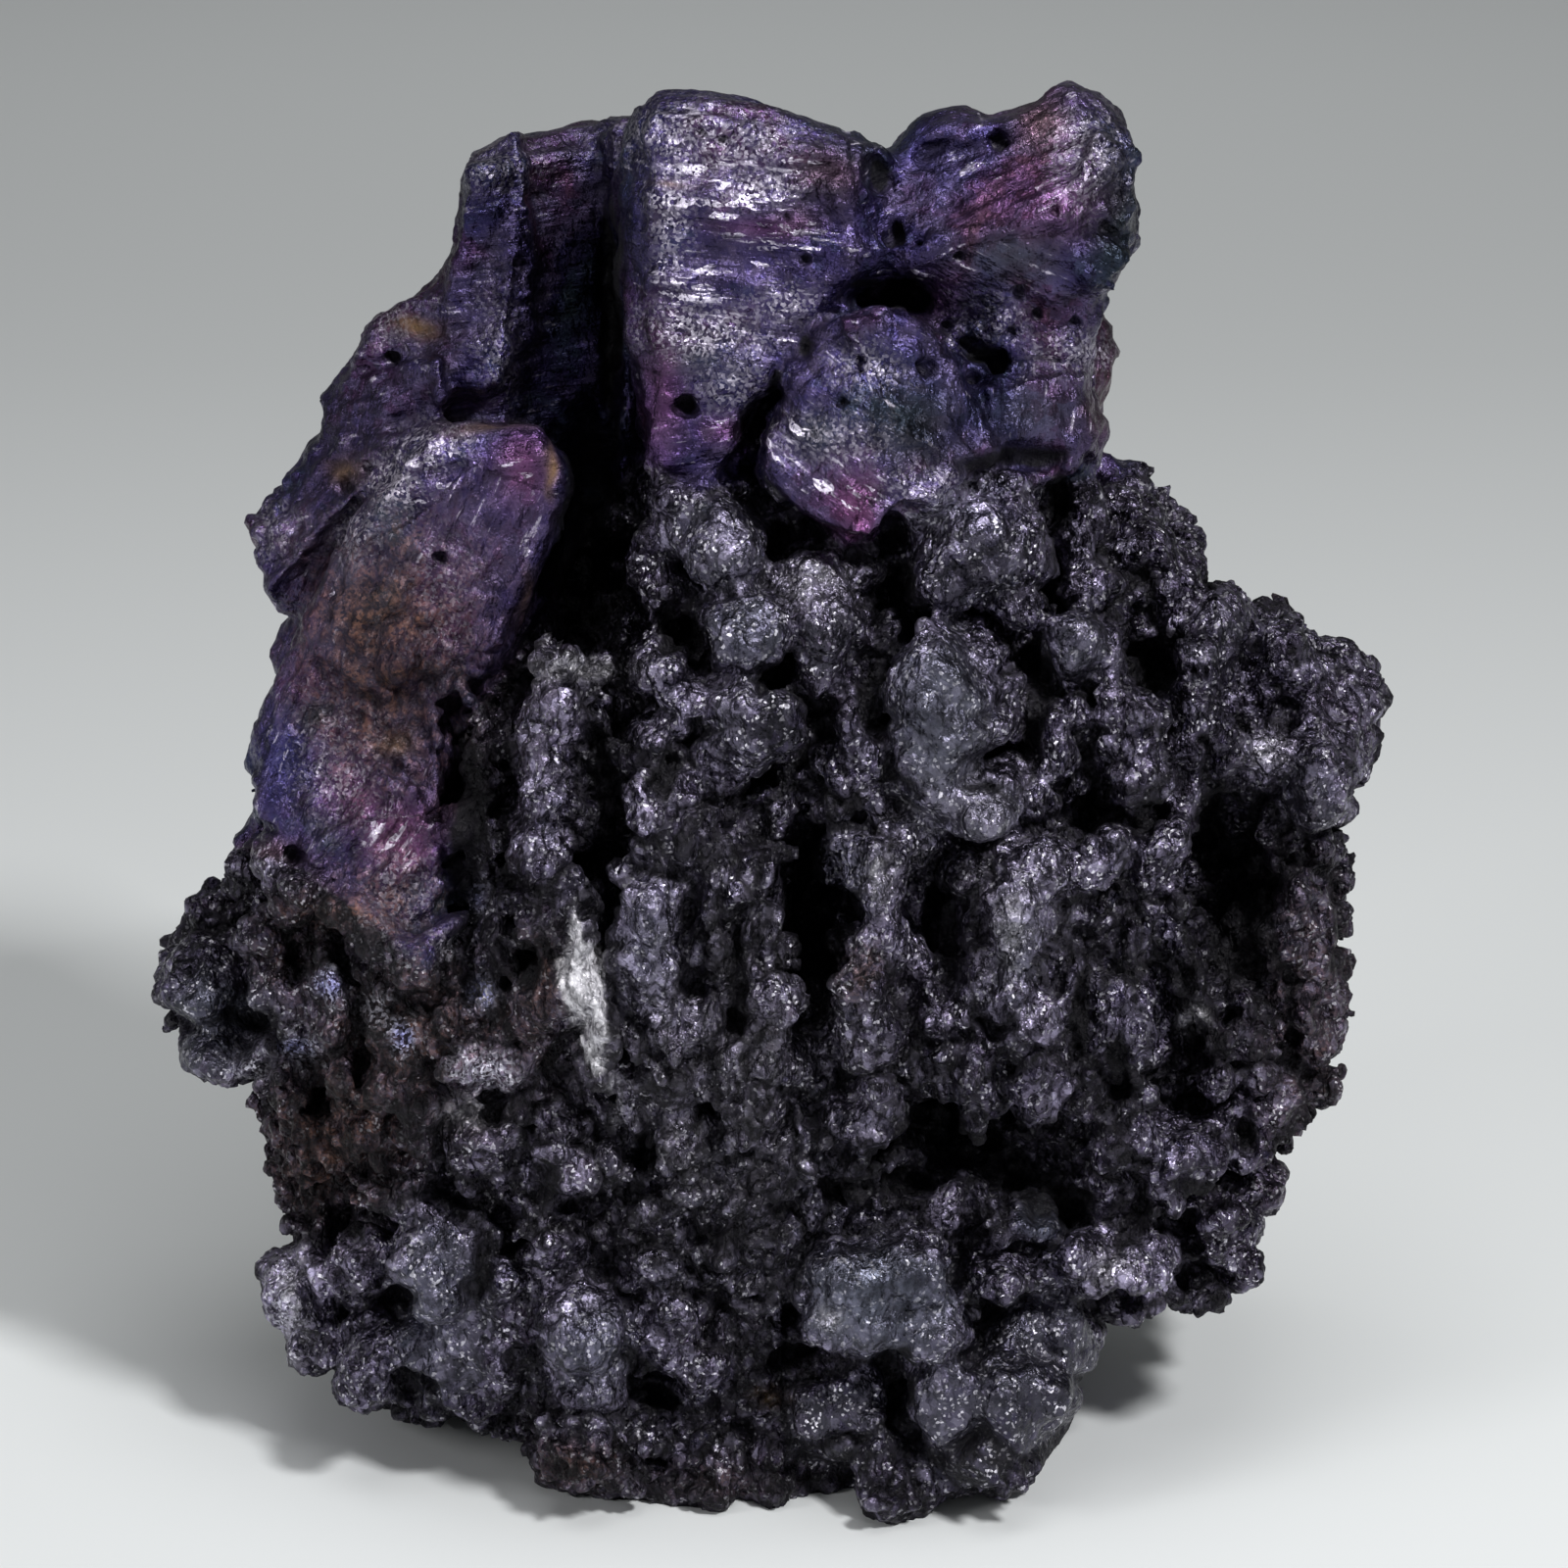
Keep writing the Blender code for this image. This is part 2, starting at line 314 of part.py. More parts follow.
def add_lump(forms, middle, half, lean, draw, root=None, corners=26, rough=0.14):
    """Adds an angular lump: a hull round corners spread evenly over an ellipsoid, each moved a little.
    Its root, narrower, reaches to the mass that it grows from."""
    tip = Matrix.Rotation(math.radians(-lean), 3, "Y")
    spin = draw.uniform(0.0, math.tau)
    golden = math.pi * (3.0 - math.sqrt(5.0))
    points = []
    for i in range(corners):
        height = 1.0 - 2.0 * (i + 0.5) / corners
        ring = math.sqrt(1.0 - height * height)
        around = spin + golden * i
        way = Vector((ring * math.cos(around) * half[0], ring * math.sin(around) * half[2], height * half[1]))
        points.append(middle + tip @ way * (1.0 + draw.uniform(-rough, rough)))
    if root:
        points += [middle + root + (p - middle) * ROOT_WIDTH for p in points]
    add_hull(forms, points)


def add_crystal(forms, outline, front, slope, thickness, bevel):
    """Adds a tabular crystal: a flat face inside a bevel, flat sides, and a smaller flat back."""
    middle = Vector((sum(p[0] for p in outline), sum(p[1] for p in outline))) / len(outline)
    reach = sum((Vector(p) - middle).length for p in outline) / len(outline)
    corners = []
    for grow, back in [(1.0 - bevel / reach, 0.0), (1.0, bevel), (1.0, thickness * 0.75),
                       (1.0 - 2.0 * bevel / reach, thickness)]:
        for across, up in outline:
            at = middle + (Vector((across, up)) - middle) * grow
            level = front + slope[0] * (at.x - middle.x) + slope[1] * (at.y - middle.y)
            corners.append(seen(at.x, at.y, level - back))
    count = len(outline)
    faces = [list(range(count)), list(range(4 * count - 1, 3 * count - 1, -1))]
    for ring in range(3):
        for i in range(count):
            j = (i + 1) % count
            here, there = ring * count, (ring + 1) * count
            faces.append([here + j, here + i, there + i, there + j])
    forms.add(corners, faces)


def add_rib(forms, top, foot, half_width, proud_top, proud_foot, draw):
    """Adds a rib: a row of lumps from top to foot, each wandering a little."""
    run = Vector(foot) - Vector(top)
    steps = max(3, round(run.length / (half_width * 1.15)))
    for i in range(steps + 1):
        share = i / steps
        at = Vector(top) + run * share
        across = at.x + draw.uniform(-0.22, 0.22)
        proud = proud_top + (proud_foot - proud_top) * share + draw.uniform(-0.3, 0.3)
        size = half_width * draw.uniform(0.9, 1.2)
        depth = skin(across, at.y)[0] + proud - RIB_SINK
        half = (size, size * draw.uniform(1.2, 1.7), size * 1.4)
        add_lump(forms, seen(across, at.y, depth), half, draw.uniform(-15, 15), draw, FRONT_ROOT, 22, 0.1)


def is_clear(across, up, size):
    """Whether a lump of that size would stand clear of the hollows and of the larger lumps."""
    for h in HOLLOWS:
        if abs(across - h[0]) < h[3] + size * 0.5 and abs(up - h[1]) < h[4] + size * 0.5:
            return False
    return all(math.hypot((across - n[0]) / n[3], (up - n[1]) / n[4]) > 1.0 for n in LUMPS)


def is_within(across, up, size):
    """Whether a lump of that size stays inside the outline of the crust."""
    corners = [(0, 0), (size, 0), (-size, 0), (0, size), (0, -size)]
    return all(inside(CRUST_OUTLINE, across + x, up + z) for x, z in corners)


def spread(draw, pitch):
    """Places over the crust, evenly spread and each moved a little: across and up."""
    left, right = min(p[0] for p in CRUST_OUTLINE), max(p[0] for p in CRUST_OUTLINE)
    foot, top = min(p[1] for p in CRUST_OUTLINE), max(p[1] for p in CRUST_OUTLINE)
    step = pitch * math.sqrt(3.0) / 2.0
    for row in range(int((top - foot) / step) + 1):
        for column in range(int((right - left) / pitch) + 1):
            across = left + (column + 0.5 * (row % 2)) * pitch + draw.uniform(-STRAY, STRAY) * pitch
            yield across, foot + row * step + draw.uniform(-STRAY, STRAY) * pitch


def add_crust(forms, draw):
    """Adds the small lumps that cover the crust: its front, its back, and all round its edge."""
    for across, up in spread(draw, FRONT_PITCH):
        size = draw.uniform(0.7, 1.2)
        if is_within(across, up, size) and is_clear(across, up, size):
            middle = seen(across, up, skin(across, up)[0] + draw.uniform(-1.3, 0.2))
            half = (size, size * draw.uniform(0.9, 1.5), size)
            add_lump(forms, middle, half, draw.uniform(-40, 40), draw, FRONT_ROOT, 18)
    for across, up in spread(draw, BACK_PITCH):
        size = draw.uniform(1.2, 2.3)
        middle = seen(across, up, skin(across, up)[1] + draw.uniform(0.6, 1.8))
        if is_within(across, up, size * 1.3) and middle.z > size * 1.5 + UNDERSIDE:
            half = (size, size * draw.uniform(0.9, 1.5), size)
            add_lump(forms, middle, half, draw.uniform(-40, 40), draw, -FRONT_ROOT, 18)
    corners = CRUST_OUTLINE[:-6]
    for (x0, z0), (x1, z1) in zip(corners, corners[1:]):
        side = Vector((x1 - x0, z1 - z0))
        inward = Vector((side.y, -side.x)).normalized()
        root = Vector((inward.x, 0.0, inward.y)) * 2.5
        for _ in range(max(2, round(side.length * 1.2))):
            size = draw.uniform(0.8, 1.4)
            at = Vector((x0, z0)) + side * draw.random() + inward * size * 1.05
            front = draw.uniform(-4.5, 2.0)
            if seen(at.x, at.y, front).z < size + UNDERSIDE:
                front += 6.0
            add_lump(forms, seen(at.x, at.y, front), (size, size, size * 1.4), 0, draw, root, 18)


def add_backs(forms, draw):
    """Adds the broken lumps behind the tall crystals and between them and the crust."""
    for across, up, front, size in [
        (-9.0, 40.0, -8.0, 2.6), (-12.5, 35.0, -6.5, 2.8), (-7.0, 44.0, -8.5, 2.0), (-1.0, 43.0, -3.8, 3.0),
        (1.0, 38.5, -5.5, 3.6), (6.5, 43.5, -5.0, 3.0), (9.0, 39.5, -4.6, 3.0), (5.0, 36.0, -7.0, 3.2),
        (-3.0, 36.0, -7.5, 3.2), (10.0, 45.0, -4.0, 2.4), (-14.0, 29.0, -5.5, 2.6), (-8.0, 30.0, -8.5, 3.2),
        (11.5, 33.0, -5.0, 3.0), (0.0, 31.0, -9.5, 3.4), (7.0, 30.0, -9.0, 3.2),
    ]:
        half = (size, size * 1.3, size * 0.9)
        add_lump(forms, seen(across, up, front), half, draw.uniform(-20, 20), draw)


def apply_modifiers(thing):
    """Replaces the object's mesh by what its modifiers make of it."""
    bpy.context.view_layer.update()
    shaped = thing.evaluated_get(bpy.context.evaluated_depsgraph_get())
    data = bpy.data.meshes.new_from_object(shaped)
    thing.modifiers.clear()
    thing.data = data


def grow_together(thing, voxel=VOXEL):
    """Joins overlapping closed bodies into one skin."""
    remesh = thing.modifiers.new("grow together", "REMESH")
    remesh.mode = "VOXEL"
    remesh.voxel_size = voxel * MM
    apply_modifiers(thing)


def cut(thing, cutter):
    """Takes the cutter's space out of the object."""
    boolean = thing.modifiers.new("cut", "BOOLEAN")
    boolean.operation = "DIFFERENCE"
    boolean.solver = "EXACT"
    boolean.object = cutter
    apply_modifiers(thing)
    bpy.data.objects.remove(cutter)


def keep_largest(thing):
    """Deletes every loose shell but the largest."""
    mesh = bmesh.new()
    mesh.from_mesh(thing.data)
    left, shells = set(mesh.verts), []
    while left:
        start = left.pop()
        shell, edge_of_it = {start}, [start]
        while edge_of_it:
            for e in edge_of_it.pop().link_edges:
                for v in e.verts:
                    if v in left:
                        left.discard(v)
                        shell.add(v)
                        edge_of_it.append(v)
        shells.append(shell)
    shells.sort(key=len)
    bmesh.ops.delete(mesh, geom=[v for shell in shells[:-1] for v in shell], context="VERTS")
    mesh.to_mesh(thing.data)
    mesh.free()


def mend(thing, tolerance=0.02):
    """Merges corners that all but touch, opens and closes again each place where the skin pinches, and
    sets the corners just above the flat spot on it."""
    mesh = bmesh.new()
    mesh.from_mesh(thing.data)
    bmesh.ops.remove_doubles(mesh, verts=mesh.verts, dist=tolerance * MM)
    bmesh.ops.dissolve_degenerate(mesh, edges=mesh.edges, dist=tolerance * MM)
    bmesh.ops.triangulate(mesh, faces=mesh.faces)
    pinched = [v for v in mesh.verts if not v.is_manifold]
    while pinched:
        bmesh.ops.delete(mesh, geom=pinched, context="VERTS")
        closed = bmesh.ops.holes_fill(mesh, edges=[e for e in mesh.edges if e.is_boundary])
        bmesh.ops.triangulate(mesh, faces=closed["faces"])
        pinched = [v for v in mesh.verts if v.is_boundary or not v.is_manifold]
    for v in mesh.verts:
        if v.co.z < FLAT_SPOT_GAP * MM:
            v.co.z = 0.0
    bmesh.ops.recalc_face_normals(mesh, faces=mesh.faces)
    mesh.to_mesh(thing.data)
    mesh.free()


def make_inner_mass(draw):
    """The mass inside the crust, with the hollows and clefts cut into it."""
    forms = Forms()
    for across, up, front, wide, high, deep in CORES:
        add_lump(forms, seen(across, up, front), (wide, high, deep), 0, draw, corners=90, rough=0.05)
    mass = forms.made("inner mass")
    grow_together(mass, MASS_VOXEL)
    forms = Forms()
    for across, up, front, wide, high, deep, lean in HOLLOWS:
        add_lump(forms, seen(across, up, front), (wide, high, deep), lean, draw, corners=40, rough=0.08)
    hollows = forms.made("hollows")
    grow_together(hollows, VOXEL)
    cut(mass, hollows)
    return mass


def make_ground():
    """A block that fills everything below the flat spot."""
    forms = Forms()
    forms.add([Vector((x, y, z)) for z in (-60, 0) for y in (-60, 60) for x in (-60, 60)],
              [(0, 2, 3, 1), (4, 5, 7, 6), (0, 1, 5, 4), (2, 6, 7, 3), (0, 4, 6, 2), (1, 3, 7, 5)])
    return forms.made("below the flat spot")


def make_cluster():
    draw = random.Random(29)
    forms = Forms()
    forms.add_object(make_inner_mass(draw))
    for outline, front, slope, thickness, bevel in CRYSTALS.values():
        add_crystal(forms, outline, front, slope, thickness, bevel)
    for across, up, proud, wide, high, deep, lean in LUMPS:
        middle = seen(across, up, skin(across, up)[0] + proud - LUMP_SINK)
        add_lump(forms, middle, (wide, high, deep), lean, draw, FRONT_ROOT)
    for top, foot, half_width, proud_top, proud_foot in RIBS:
        add_rib(forms, top, foot, half_width, proud_top, proud_foot, draw)
    add_crust(forms, draw)
    add_backs(forms, draw)
    cluster = forms.made(NODE)
    grow_together(cluster)
    thin = cluster.modifiers.new("fewer faces", "DECIMATE")
    thin.ratio = FACES / sum(len(p.vertices) - 2 for p in cluster.data.polygons)
    apply_modifiers(cluster)
    cut(cluster, make_ground())
    mend(cluster)
    keep_largest(cluster)
    return cluster


def set_on_origin(thing):
    """Moves the mesh so that the middle of its box stands on the origin."""
    corners = [Vector(c) for c in thing.bound_box]
    low = Vector(min(c[i] for c in corners) for i in range(3))
    high = Vector(max(c[i] for c in corners) for i in range(3))
    thing.data.transform(Matrix.Translation((-(low.x + high.x) / 2, -(low.y + high.y) / 2, -low.z)))


def tarnished_metal():
    material = bpy.data.materials.new("tarnished chalcocite")
    material.use_nodes = True
    shader = material.node_tree.nodes["Principled BSDF"]
    shader.inputs["Base Color"].default_value = (0.035, 0.03, 0.045, 1.0)
    shader.inputs["Metallic"].default_value = 0.7
    shader.inputs["Roughness"].default_value = 0.42
    return material


def main():
    for thing in list(bpy.data.objects):
        bpy.data.objects.remove(thing)
    cluster = make_cluster()
    set_on_origin(cluster)
    cluster.data.materials.clear()
    cluster.data.materials.append(tarnished_metal())


main()
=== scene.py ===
"""Looks of a tarnished chalcocite cluster: its grains, pits, striations, tarnish and glints.

Places are given as they show in the front view, across and up in millimetres on the picture plane, and
pass to the surface along the line of sight. Lengths in the code are in millimetres unless a name says so.
"""

import math
from types import SimpleNamespace

import bmesh
import bpy
import numpy as np
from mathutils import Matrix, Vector


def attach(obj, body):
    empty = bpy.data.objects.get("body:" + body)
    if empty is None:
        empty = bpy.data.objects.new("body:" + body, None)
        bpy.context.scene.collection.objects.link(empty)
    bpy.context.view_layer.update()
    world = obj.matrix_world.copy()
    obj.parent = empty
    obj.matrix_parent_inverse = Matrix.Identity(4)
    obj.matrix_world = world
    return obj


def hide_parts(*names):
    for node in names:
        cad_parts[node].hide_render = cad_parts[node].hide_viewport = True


MM = 0.001
NODE = "chalcocite_cluster"

# The front view
VIEW_TILT = math.radians(20.0)
VIEW_DISTANCE = 170.0
VIEW_MIDDLE = np.array([0.667, 25.333])  # across and up at the picture's middle
VIEW_TARGET = np.array([0.863, -0.573, 24.035])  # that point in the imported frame
PICTURE_WIDTH = 53.33  # width of the picture on the plane through that point

# Grains and relief
BODY_VOXEL = 0.24  # size of the faces while the blocks are shaped
SKIN_VOXEL = 0.145  # size of the faces of the finished skin
GRAIN_COUNT = 11000
GRAIN_SIZE = (0.12, 0.45)  # half width of the smallest and the largest grain
BLOCK_SIZE = 1.4  # spacing of the angular blocks that fill in between the lumps
BLOCK_RELIEF = 0.55  # their height, as a share of the spacing
BACK_SHARE = 0.32  # share of the faces kept on the side away from the front
PIECE_LIMIT = 190000  # triangles in one piece
BACK_FROM = 0.5  # depth at which the pieces of the back begin
FRONT_EDGE = (4.0, 1.0)  # depths between which the far side turns into the front
NAMED_EDGE = (1.45, 1.3)  # the same for the named lumps, in shares of a lump's size
LUMP_MARGIN = 0.12  # added to the half width and half height of a named lump
LUMP_GROUND = 0.75  # how far the ground between the named lumps lies below them
STRIATED_FROM = 20.0  # how far up the striations of the crystals begin
GRAIN_SEED = 7
LUMP_SEED = 5

RIGHT = np.array([1.0, 0.0, 0.0])
UP = np.array([0.0, math.sin(VIEW_TILT), math.cos(VIEW_TILT)])
AHEAD = np.array([0.0, math.cos(VIEW_TILT), -math.sin(VIEW_TILT)])
EYE = VIEW_TARGET - VIEW_DISTANCE * AHEAD
TABLE = 4096  # how many different blocks there are

# Outline of the part that is crystals with flat faces, not crust: across, up
CRYSTAL_ZONE = [
    (-25.0, 52.0), (-25.0, 30.0), (-18.2, 27.0), (-18.4, 23.2), (-16.0, 22.6), (-13.0, 20.2),
    (-11.5, 18.9),
    (-10.0, 21.0), (-9.8, 24.0), (-10.4, 27.0), (-8.6, 29.4), (-7.2, 31.4), (-6.0, 34.0), (-4.4, 36.3),
    (-2.0, 35.3), (-0.4, 36.0), (1.2, 34.5), (2.8, 33.3), (5.0, 34.4), (7.6, 36.2), (9.0, 35.8),
    (12.2, 35.8), (15.0, 40.0), (15.0, 52.0),
]

# Lumps of the crust: across, up, half width, half height, lightness, which is partly painted light
LUMPS = [
    (-2.9, 34.7, 0.9, 0.8, 0.6), (-0.5, 35.0, 0.8, 0.7, 0.5), (-3.9, 35.3, 0.6, 0.6, 0.3),
    (-1.6, 33.3, 1.75, 1.35, 0.7), (-4.0, 32.9, 0.6, 0.95, 0.2),
    (-3.6, 31.4, 0.6, 0.6, 0.2), (-4.3, 30.4, 0.4, 0.6, 0.2), (-0.6, 30.6, 1.45, 1.4, 0.4),
    (2.0, 32.2, 1.5, 0.75, 0.9), (2.3, 30.6, 1.3, 0.8, 0.4), (1.9, 29.4, 0.8, 0.9, 0.4),
    (-3.6, 29.3, 0.9, 0.8, 0.4), (-2.7, 28.4, 0.6, 0.7, 0.6), (-1.4, 28.2, 0.9, 0.7, 0.8),
    (0.3, 27.3, 1.05, 1.1, 0.1), (-1.1, 26.2, 1.0, 0.8, 0.7), (-3.6, 27.2, 0.9, 0.5, 0.6),
    (3.1, 28.1, 0.95, 1.1, 0.2), (2.9, 26.1, 1.0, 0.9, 0.3), (4.3, 24.6, 0.8, 0.6, 0.3),
    (6.0, 29.0, 1.6, 1.7, 0.9), (5.9, 26.7, 1.7, 1.5, 0.7), (5.9, 24.6, 1.0, 0.6, 0.6),
    (7.7, 24.1, 1.0, 0.85, 0.8), (7.7, 29.8, 0.45, 0.5, 1.0), (8.4, 26.4, 0.7, 1.3, 0.6),
    (9.0, 28.4, 0.9, 0.7, 0.4), (10.2, 27.7, 0.8, 0.45, 0.5), (9.8, 26.4, 0.6, 0.9, 0.4),
    (9.4, 24.7, 0.5, 0.4, 0.5), (6.6, 34.1, 1.6, 1.2, 0.7), (8.4, 33.4, 1.2, 1.4, 0.3),
    (6.4, 32.3, 1.2, 0.9, 0.3), (8.9, 35.6, 1.3, 0.7, 0.4), (4.9, 32.4, 0.6, 0.8, 0.3),
    (7.3, 31.2, 1.0, 0.6, 0.4), (8.7, 31.3, 0.7, 0.9, 0.3), (10.8, 34.5, 0.7, 1.4, 0.4),
    (12.5, 34.4, 1.0, 1.4, 0.4), (14.1, 33.1, 0.8, 0.9, 0.3), (10.4, 33.3, 0.6, 0.6, 0.5),
    (11.0, 32.0, 1.0, 0.6, 0.4), (14.4, 31.4, 1.0, 0.8, 0.4), (16.0, 31.2, 0.9, 0.8, 0.5),
    (15.2, 29.5, 1.0, 1.0, 0.3), (10.4, 30.0, 0.85, 1.1, 0.9), (11.6, 29.7, 0.5, 1.0, 0.6),
    (12.3, 27.9, 0.9, 0.8, 0.7), (12.3, 26.2, 1.0, 1.0, 0.4), (14.1, 27.7, 0.6, 0.8, 0.2),
    (14.3, 26.2, 0.5, 0.7, 0.4), (15.4, 27.9, 0.5, 1.0, 0.3), (15.9, 26.2, 0.5, 0.9, 0.3),
    (16.8, 28.1, 0.6, 0.6, 0.4), (17.0, 26.2, 0.8, 0.75, 1.0), (18.7, 28.3, 0.75, 0.9, 0.7),
    (18.9, 26.5, 0.9, 0.75, 0.4), (18.8, 24.8, 1.0, 0.95, 0.6), (20.2, 28.4, 0.6, 1.2, 0.5),
    (20.1, 26.4, 0.6, 1.0, 0.5), (17.5, 30.6, 0.9, 0.5, 0.3), (19.1, 30.0, 0.9, 0.6, 0.3),
    (17.1, 29.4, 0.8, 0.5, 0.3), (12.4, 24.1, 0.9, 0.8, 0.4), (14.5, 24.6, 0.7, 0.9, 0.4),
    (15.8, 24.4, 0.5, 1.0, 0.4), (9.6, 22.4, 1.3, 0.9, 0.6), (13.6, 22.6, 1.0, 0.8, 0.5),
    (11.4, 22.6, 0.7, 0.7, 0.5), (3.0, 22.8, 1.1, 0.8, 0.4), (5.2, 22.9, 0.7, 0.9, 0.3),
    (6.6, 22.6, 0.7, 0.9, 0.3), (1.2, 24.2, 0.7, 0.6, 0.4), (-4.1, 24.7, 0.7, 0.9, 0.7),
    (-2.9, 25.3, 0.8, 0.5, 0.4), (-7.8, 17.8, 0.8, 1.3, 0.2), (-3.9, 20.9, 1.0, 1.2, 0.9),
    (-3.9, 18.9, 0.9, 1.1, 0.8), (-3.0, 17.0, 0.9, 0.9, 0.5), (-0.9, 18.4, 0.5, 0.9, 0.2),
    (0.6, 17.9, 0.8, 0.8, 0.6), (0.7, 15.9, 0.8, 0.7, 0.3), (1.7, 15.8, 0.45, 0.7, 0.3),
    (3.2, 18.6, 0.8, 1.2, 0.2), (4.3, 20.9, 0.8, 1.1, 0.9), (5.1, 19.1, 0.5, 0.9, 0.7),
    (3.3, 16.6, 1.2, 0.8, 0.3), (3.4, 14.1, 1.2, 1.0, 0.5), (8.6, 20.8, 1.0, 1.2, 0.9),
    (8.2, 18.6, 0.9, 1.1, 0.5), (9.4, 17.3, 0.6, 0.8, 0.8), (6.2, 18.0, 0.7, 1.2, 0.3),
    (10.9, 17.8, 0.5, 1.3, 0.4), (12.0, 17.0, 0.55, 1.5, 0.4), (13.3, 17.4, 0.5, 1.4, 0.4),
    (9.3, 14.8, 0.9, 0.8, 0.6), (15.5, 14.7, 0.9, 0.8, 0.6), (17.2, 14.6, 0.8, 0.9, 0.5),
    (13.8, 13.3, 1.1, 0.8, 0.6), (14.2, 11.7, 1.0, 0.7, 0.4), (16.0, 12.5, 0.8, 0.8, 0.4),
    (17.1, 11.7, 0.6, 0.8, 0.3), (15.6, 10.1, 1.1, 0.9, 0.3), (16.2, 8.9, 0.7, 0.6, 0.2),
    (11.2, 9.2, 1.2, 1.0, 0.6), (12.9, 9.1, 0.9, 1.0, 1.0), (10.9, 11.3, 0.8, 0.6, 0.7),
    (9.3, 10.6, 0.8, 0.7, 0.6), (6.1, 11.0, 0.4, 0.7, 0.8),
    (3.0, 7.1, 1.4, 1.1, 1.0), (5.3, 7.1, 1.5, 1.3, 0.7), (2.9, 9.0, 1.2, 0.8, 0.5),
    (5.0, 9.2, 1.2, 0.8, 0.5), (8.0, 8.9, 0.9, 0.9, 0.4), (9.6, 8.7, 0.6, 0.6, 0.2),
    (9.5, 6.4, 1.6, 1.3, 0.6), (9.0, 4.4, 1.5, 1.2, 0.4), (6.1, 4.4, 1.1, 1.5, 0.6),
    (2.0, 4.0, 1.0, 0.8, 0.3), (3.4, 4.3, 0.7, 0.9, 0.3), (-6.2, 7.0, 1.4, 1.2, 0.9),
    (-6.0, 5.0, 1.2, 0.9, 0.7), (-8.1, 7.6, 0.7, 1.3, 0.3), (-7.2, 9.3, 1.0, 0.6, 0.3),
    (-3.4, 6.8, 1.2, 0.9, 0.5), (-2.4, 5.2, 1.1, 0.8, 0.4), (-3.8, 8.7, 0.9, 0.6, 0.4),
    (-9.6, 13.0, 1.2, 0.8, 0.3), (-7.0, 12.2, 0.9, 0.8, 0.6), (-9.3, 15.6, 1.1, 0.6, 1.0),
    (-6.9, 13.8, 0.7, 0.6, 0.3), (-19.3, 18.7, 1.3, 1.2, 0.2), (-17.6, 19.2, 1.0, 1.3, 0.2),
    (-18.5, 16.2, 1.2, 0.9, 0.7), (-16.3, 21.6, 1.1, 0.9, 0.2), (-15.3, 17.6, 1.0, 1.2, 0.2),
    (-15.9, 8.2, 0.9, 1.4, 1.0),
    (-13.8, 9.0, 1.0, 1.1, 0.6), (-11.4, 9.4, 1.3, 1.4, 0.7), (-10.9, 6.7, 1.3, 1.3, 0.8),
    (-9.0, 7.6, 0.45, 1.5, 0.4), (-13.4, 6.3, 1.1, 1.0, 0.5), (-15.3, 6.2, 0.8, 0.8, 0.5),
    (-17.2, 22.8, 0.9, 0.6, 0.6), (-9.6, 4.9, 1.0, 0.9, 0.4),
    (-13.7, 4.8, 0.9, 0.6, 0.4), (18.5, 20.4, 0.8, 1.6, 0.3), (18.9, 17.4, 0.7, 1.6, 0.4),
    (-7.3, 27.6, 0.9, 1.1, 0.8), (-7.6, 25.4, 0.9, 1.2, 0.6), (-7.6, 23.2, 0.9, 1.1, 0.4),
]

# Smooth lumps in the crust: across, up, half width, half height, smoothness
SMOOTH_LUMPS = [
    (5.9, 27.6, 2.1, 3.2, 0.75), (7.2, 24.4, 1.8, 1.3, 0.6), (-18.9, 17.2, 2.0, 2.0, 0.7),
    (4.0, 7.6, 3.2, 2.2, 0.7), (9.4, 5.2, 2.4, 3.4, 0.85), (6.8, 3.8, 2.2, 2.6, 0.8),
    (2.5, 3.6, 2.2, 1.6, 0.7), (-11.0, 7.4, 1.9, 3.2, 0.6), (9.4, 10.6, 1.0, 1.0, 0.6),
    (-1.6, 33.4, 2.0, 1.6, 0.6), (-0.4, 27.3, 1.6, 1.8, 0.5), (7.0, 33.3, 2.2, 1.8, 0.45),
    (10.6, 30.0, 1.2, 1.3, 0.5), (18.6, 24.8, 1.2, 1.2, 0.5), (-5.9, 6.0, 1.5, 2.0, 0.4),
    (15.4, 30.5, 1.6, 1.2, 0.5), (-0.7, 30.5, 1.4, 1.3, 0.6), (2.4, 30.2, 1.3, 1.2, 0.5),
]

# Grainy places among the crystals: across, up, half width, half height, strength
ROUGH_SPOTS = [
    (-12.2, 27.6, 3.0, 4.4, 0.85), (-11.2, 22.6, 1.6, 3.0, 0.8), (11.8, 44.5, 1.0, 3.0, 0.6),
    (-16.6, 34.5, 1.5, 2.0, 0.5), (7.2, 41.0, 1.5, 1.0, 0.7), (2.4, 45.6, 1.0, 1.4, 0.6),
    (-8.6, 41.0, 1.6, 2.6, 0.4), (-2.4, 47.4, 2.4, 0.6, 0.5), (10.8, 37.6, 1.0, 1.4, 0.5),
]

# Pits: across, up, half width
PITS = [
    (-2.2, 47.5, 0.22), (-1.4, 47.2, 0.18), (-2.7, 38.2, 0.45), (4.4, 43.9, 0.40), (5.15, 43.8, 0.30),
    (6.6, 43.2, 0.25), (8.7, 42.05, 0.30), (-8.2, 43.0, 0.30), (-12.7, 39.8, 0.28), (-14.4, 35.5, 0.30),
    (-13.6, 36.1, 0.22), (3.3, 39.7, 0.30), (2.6, 38.3, 0.24), (5.6, 39.5, 0.34), (8.0, 47.3, 0.35),
    (7.0, 40.3, 0.36), (7.9, 39.7, 0.42), (7.2, 39.2, 0.26), (6.3, 40.9, 0.22), (8.4, 40.7, 0.2),
    (9.3, 41.3, 0.2), (2.2, 45.3, 0.18), (1.4, 43.2, 0.2), (0.8, 44.6, 0.16), (9.9, 44.9, 0.2),
    (-11.0, 33.0, 0.24), (10.6, 41.0, 0.25),
]
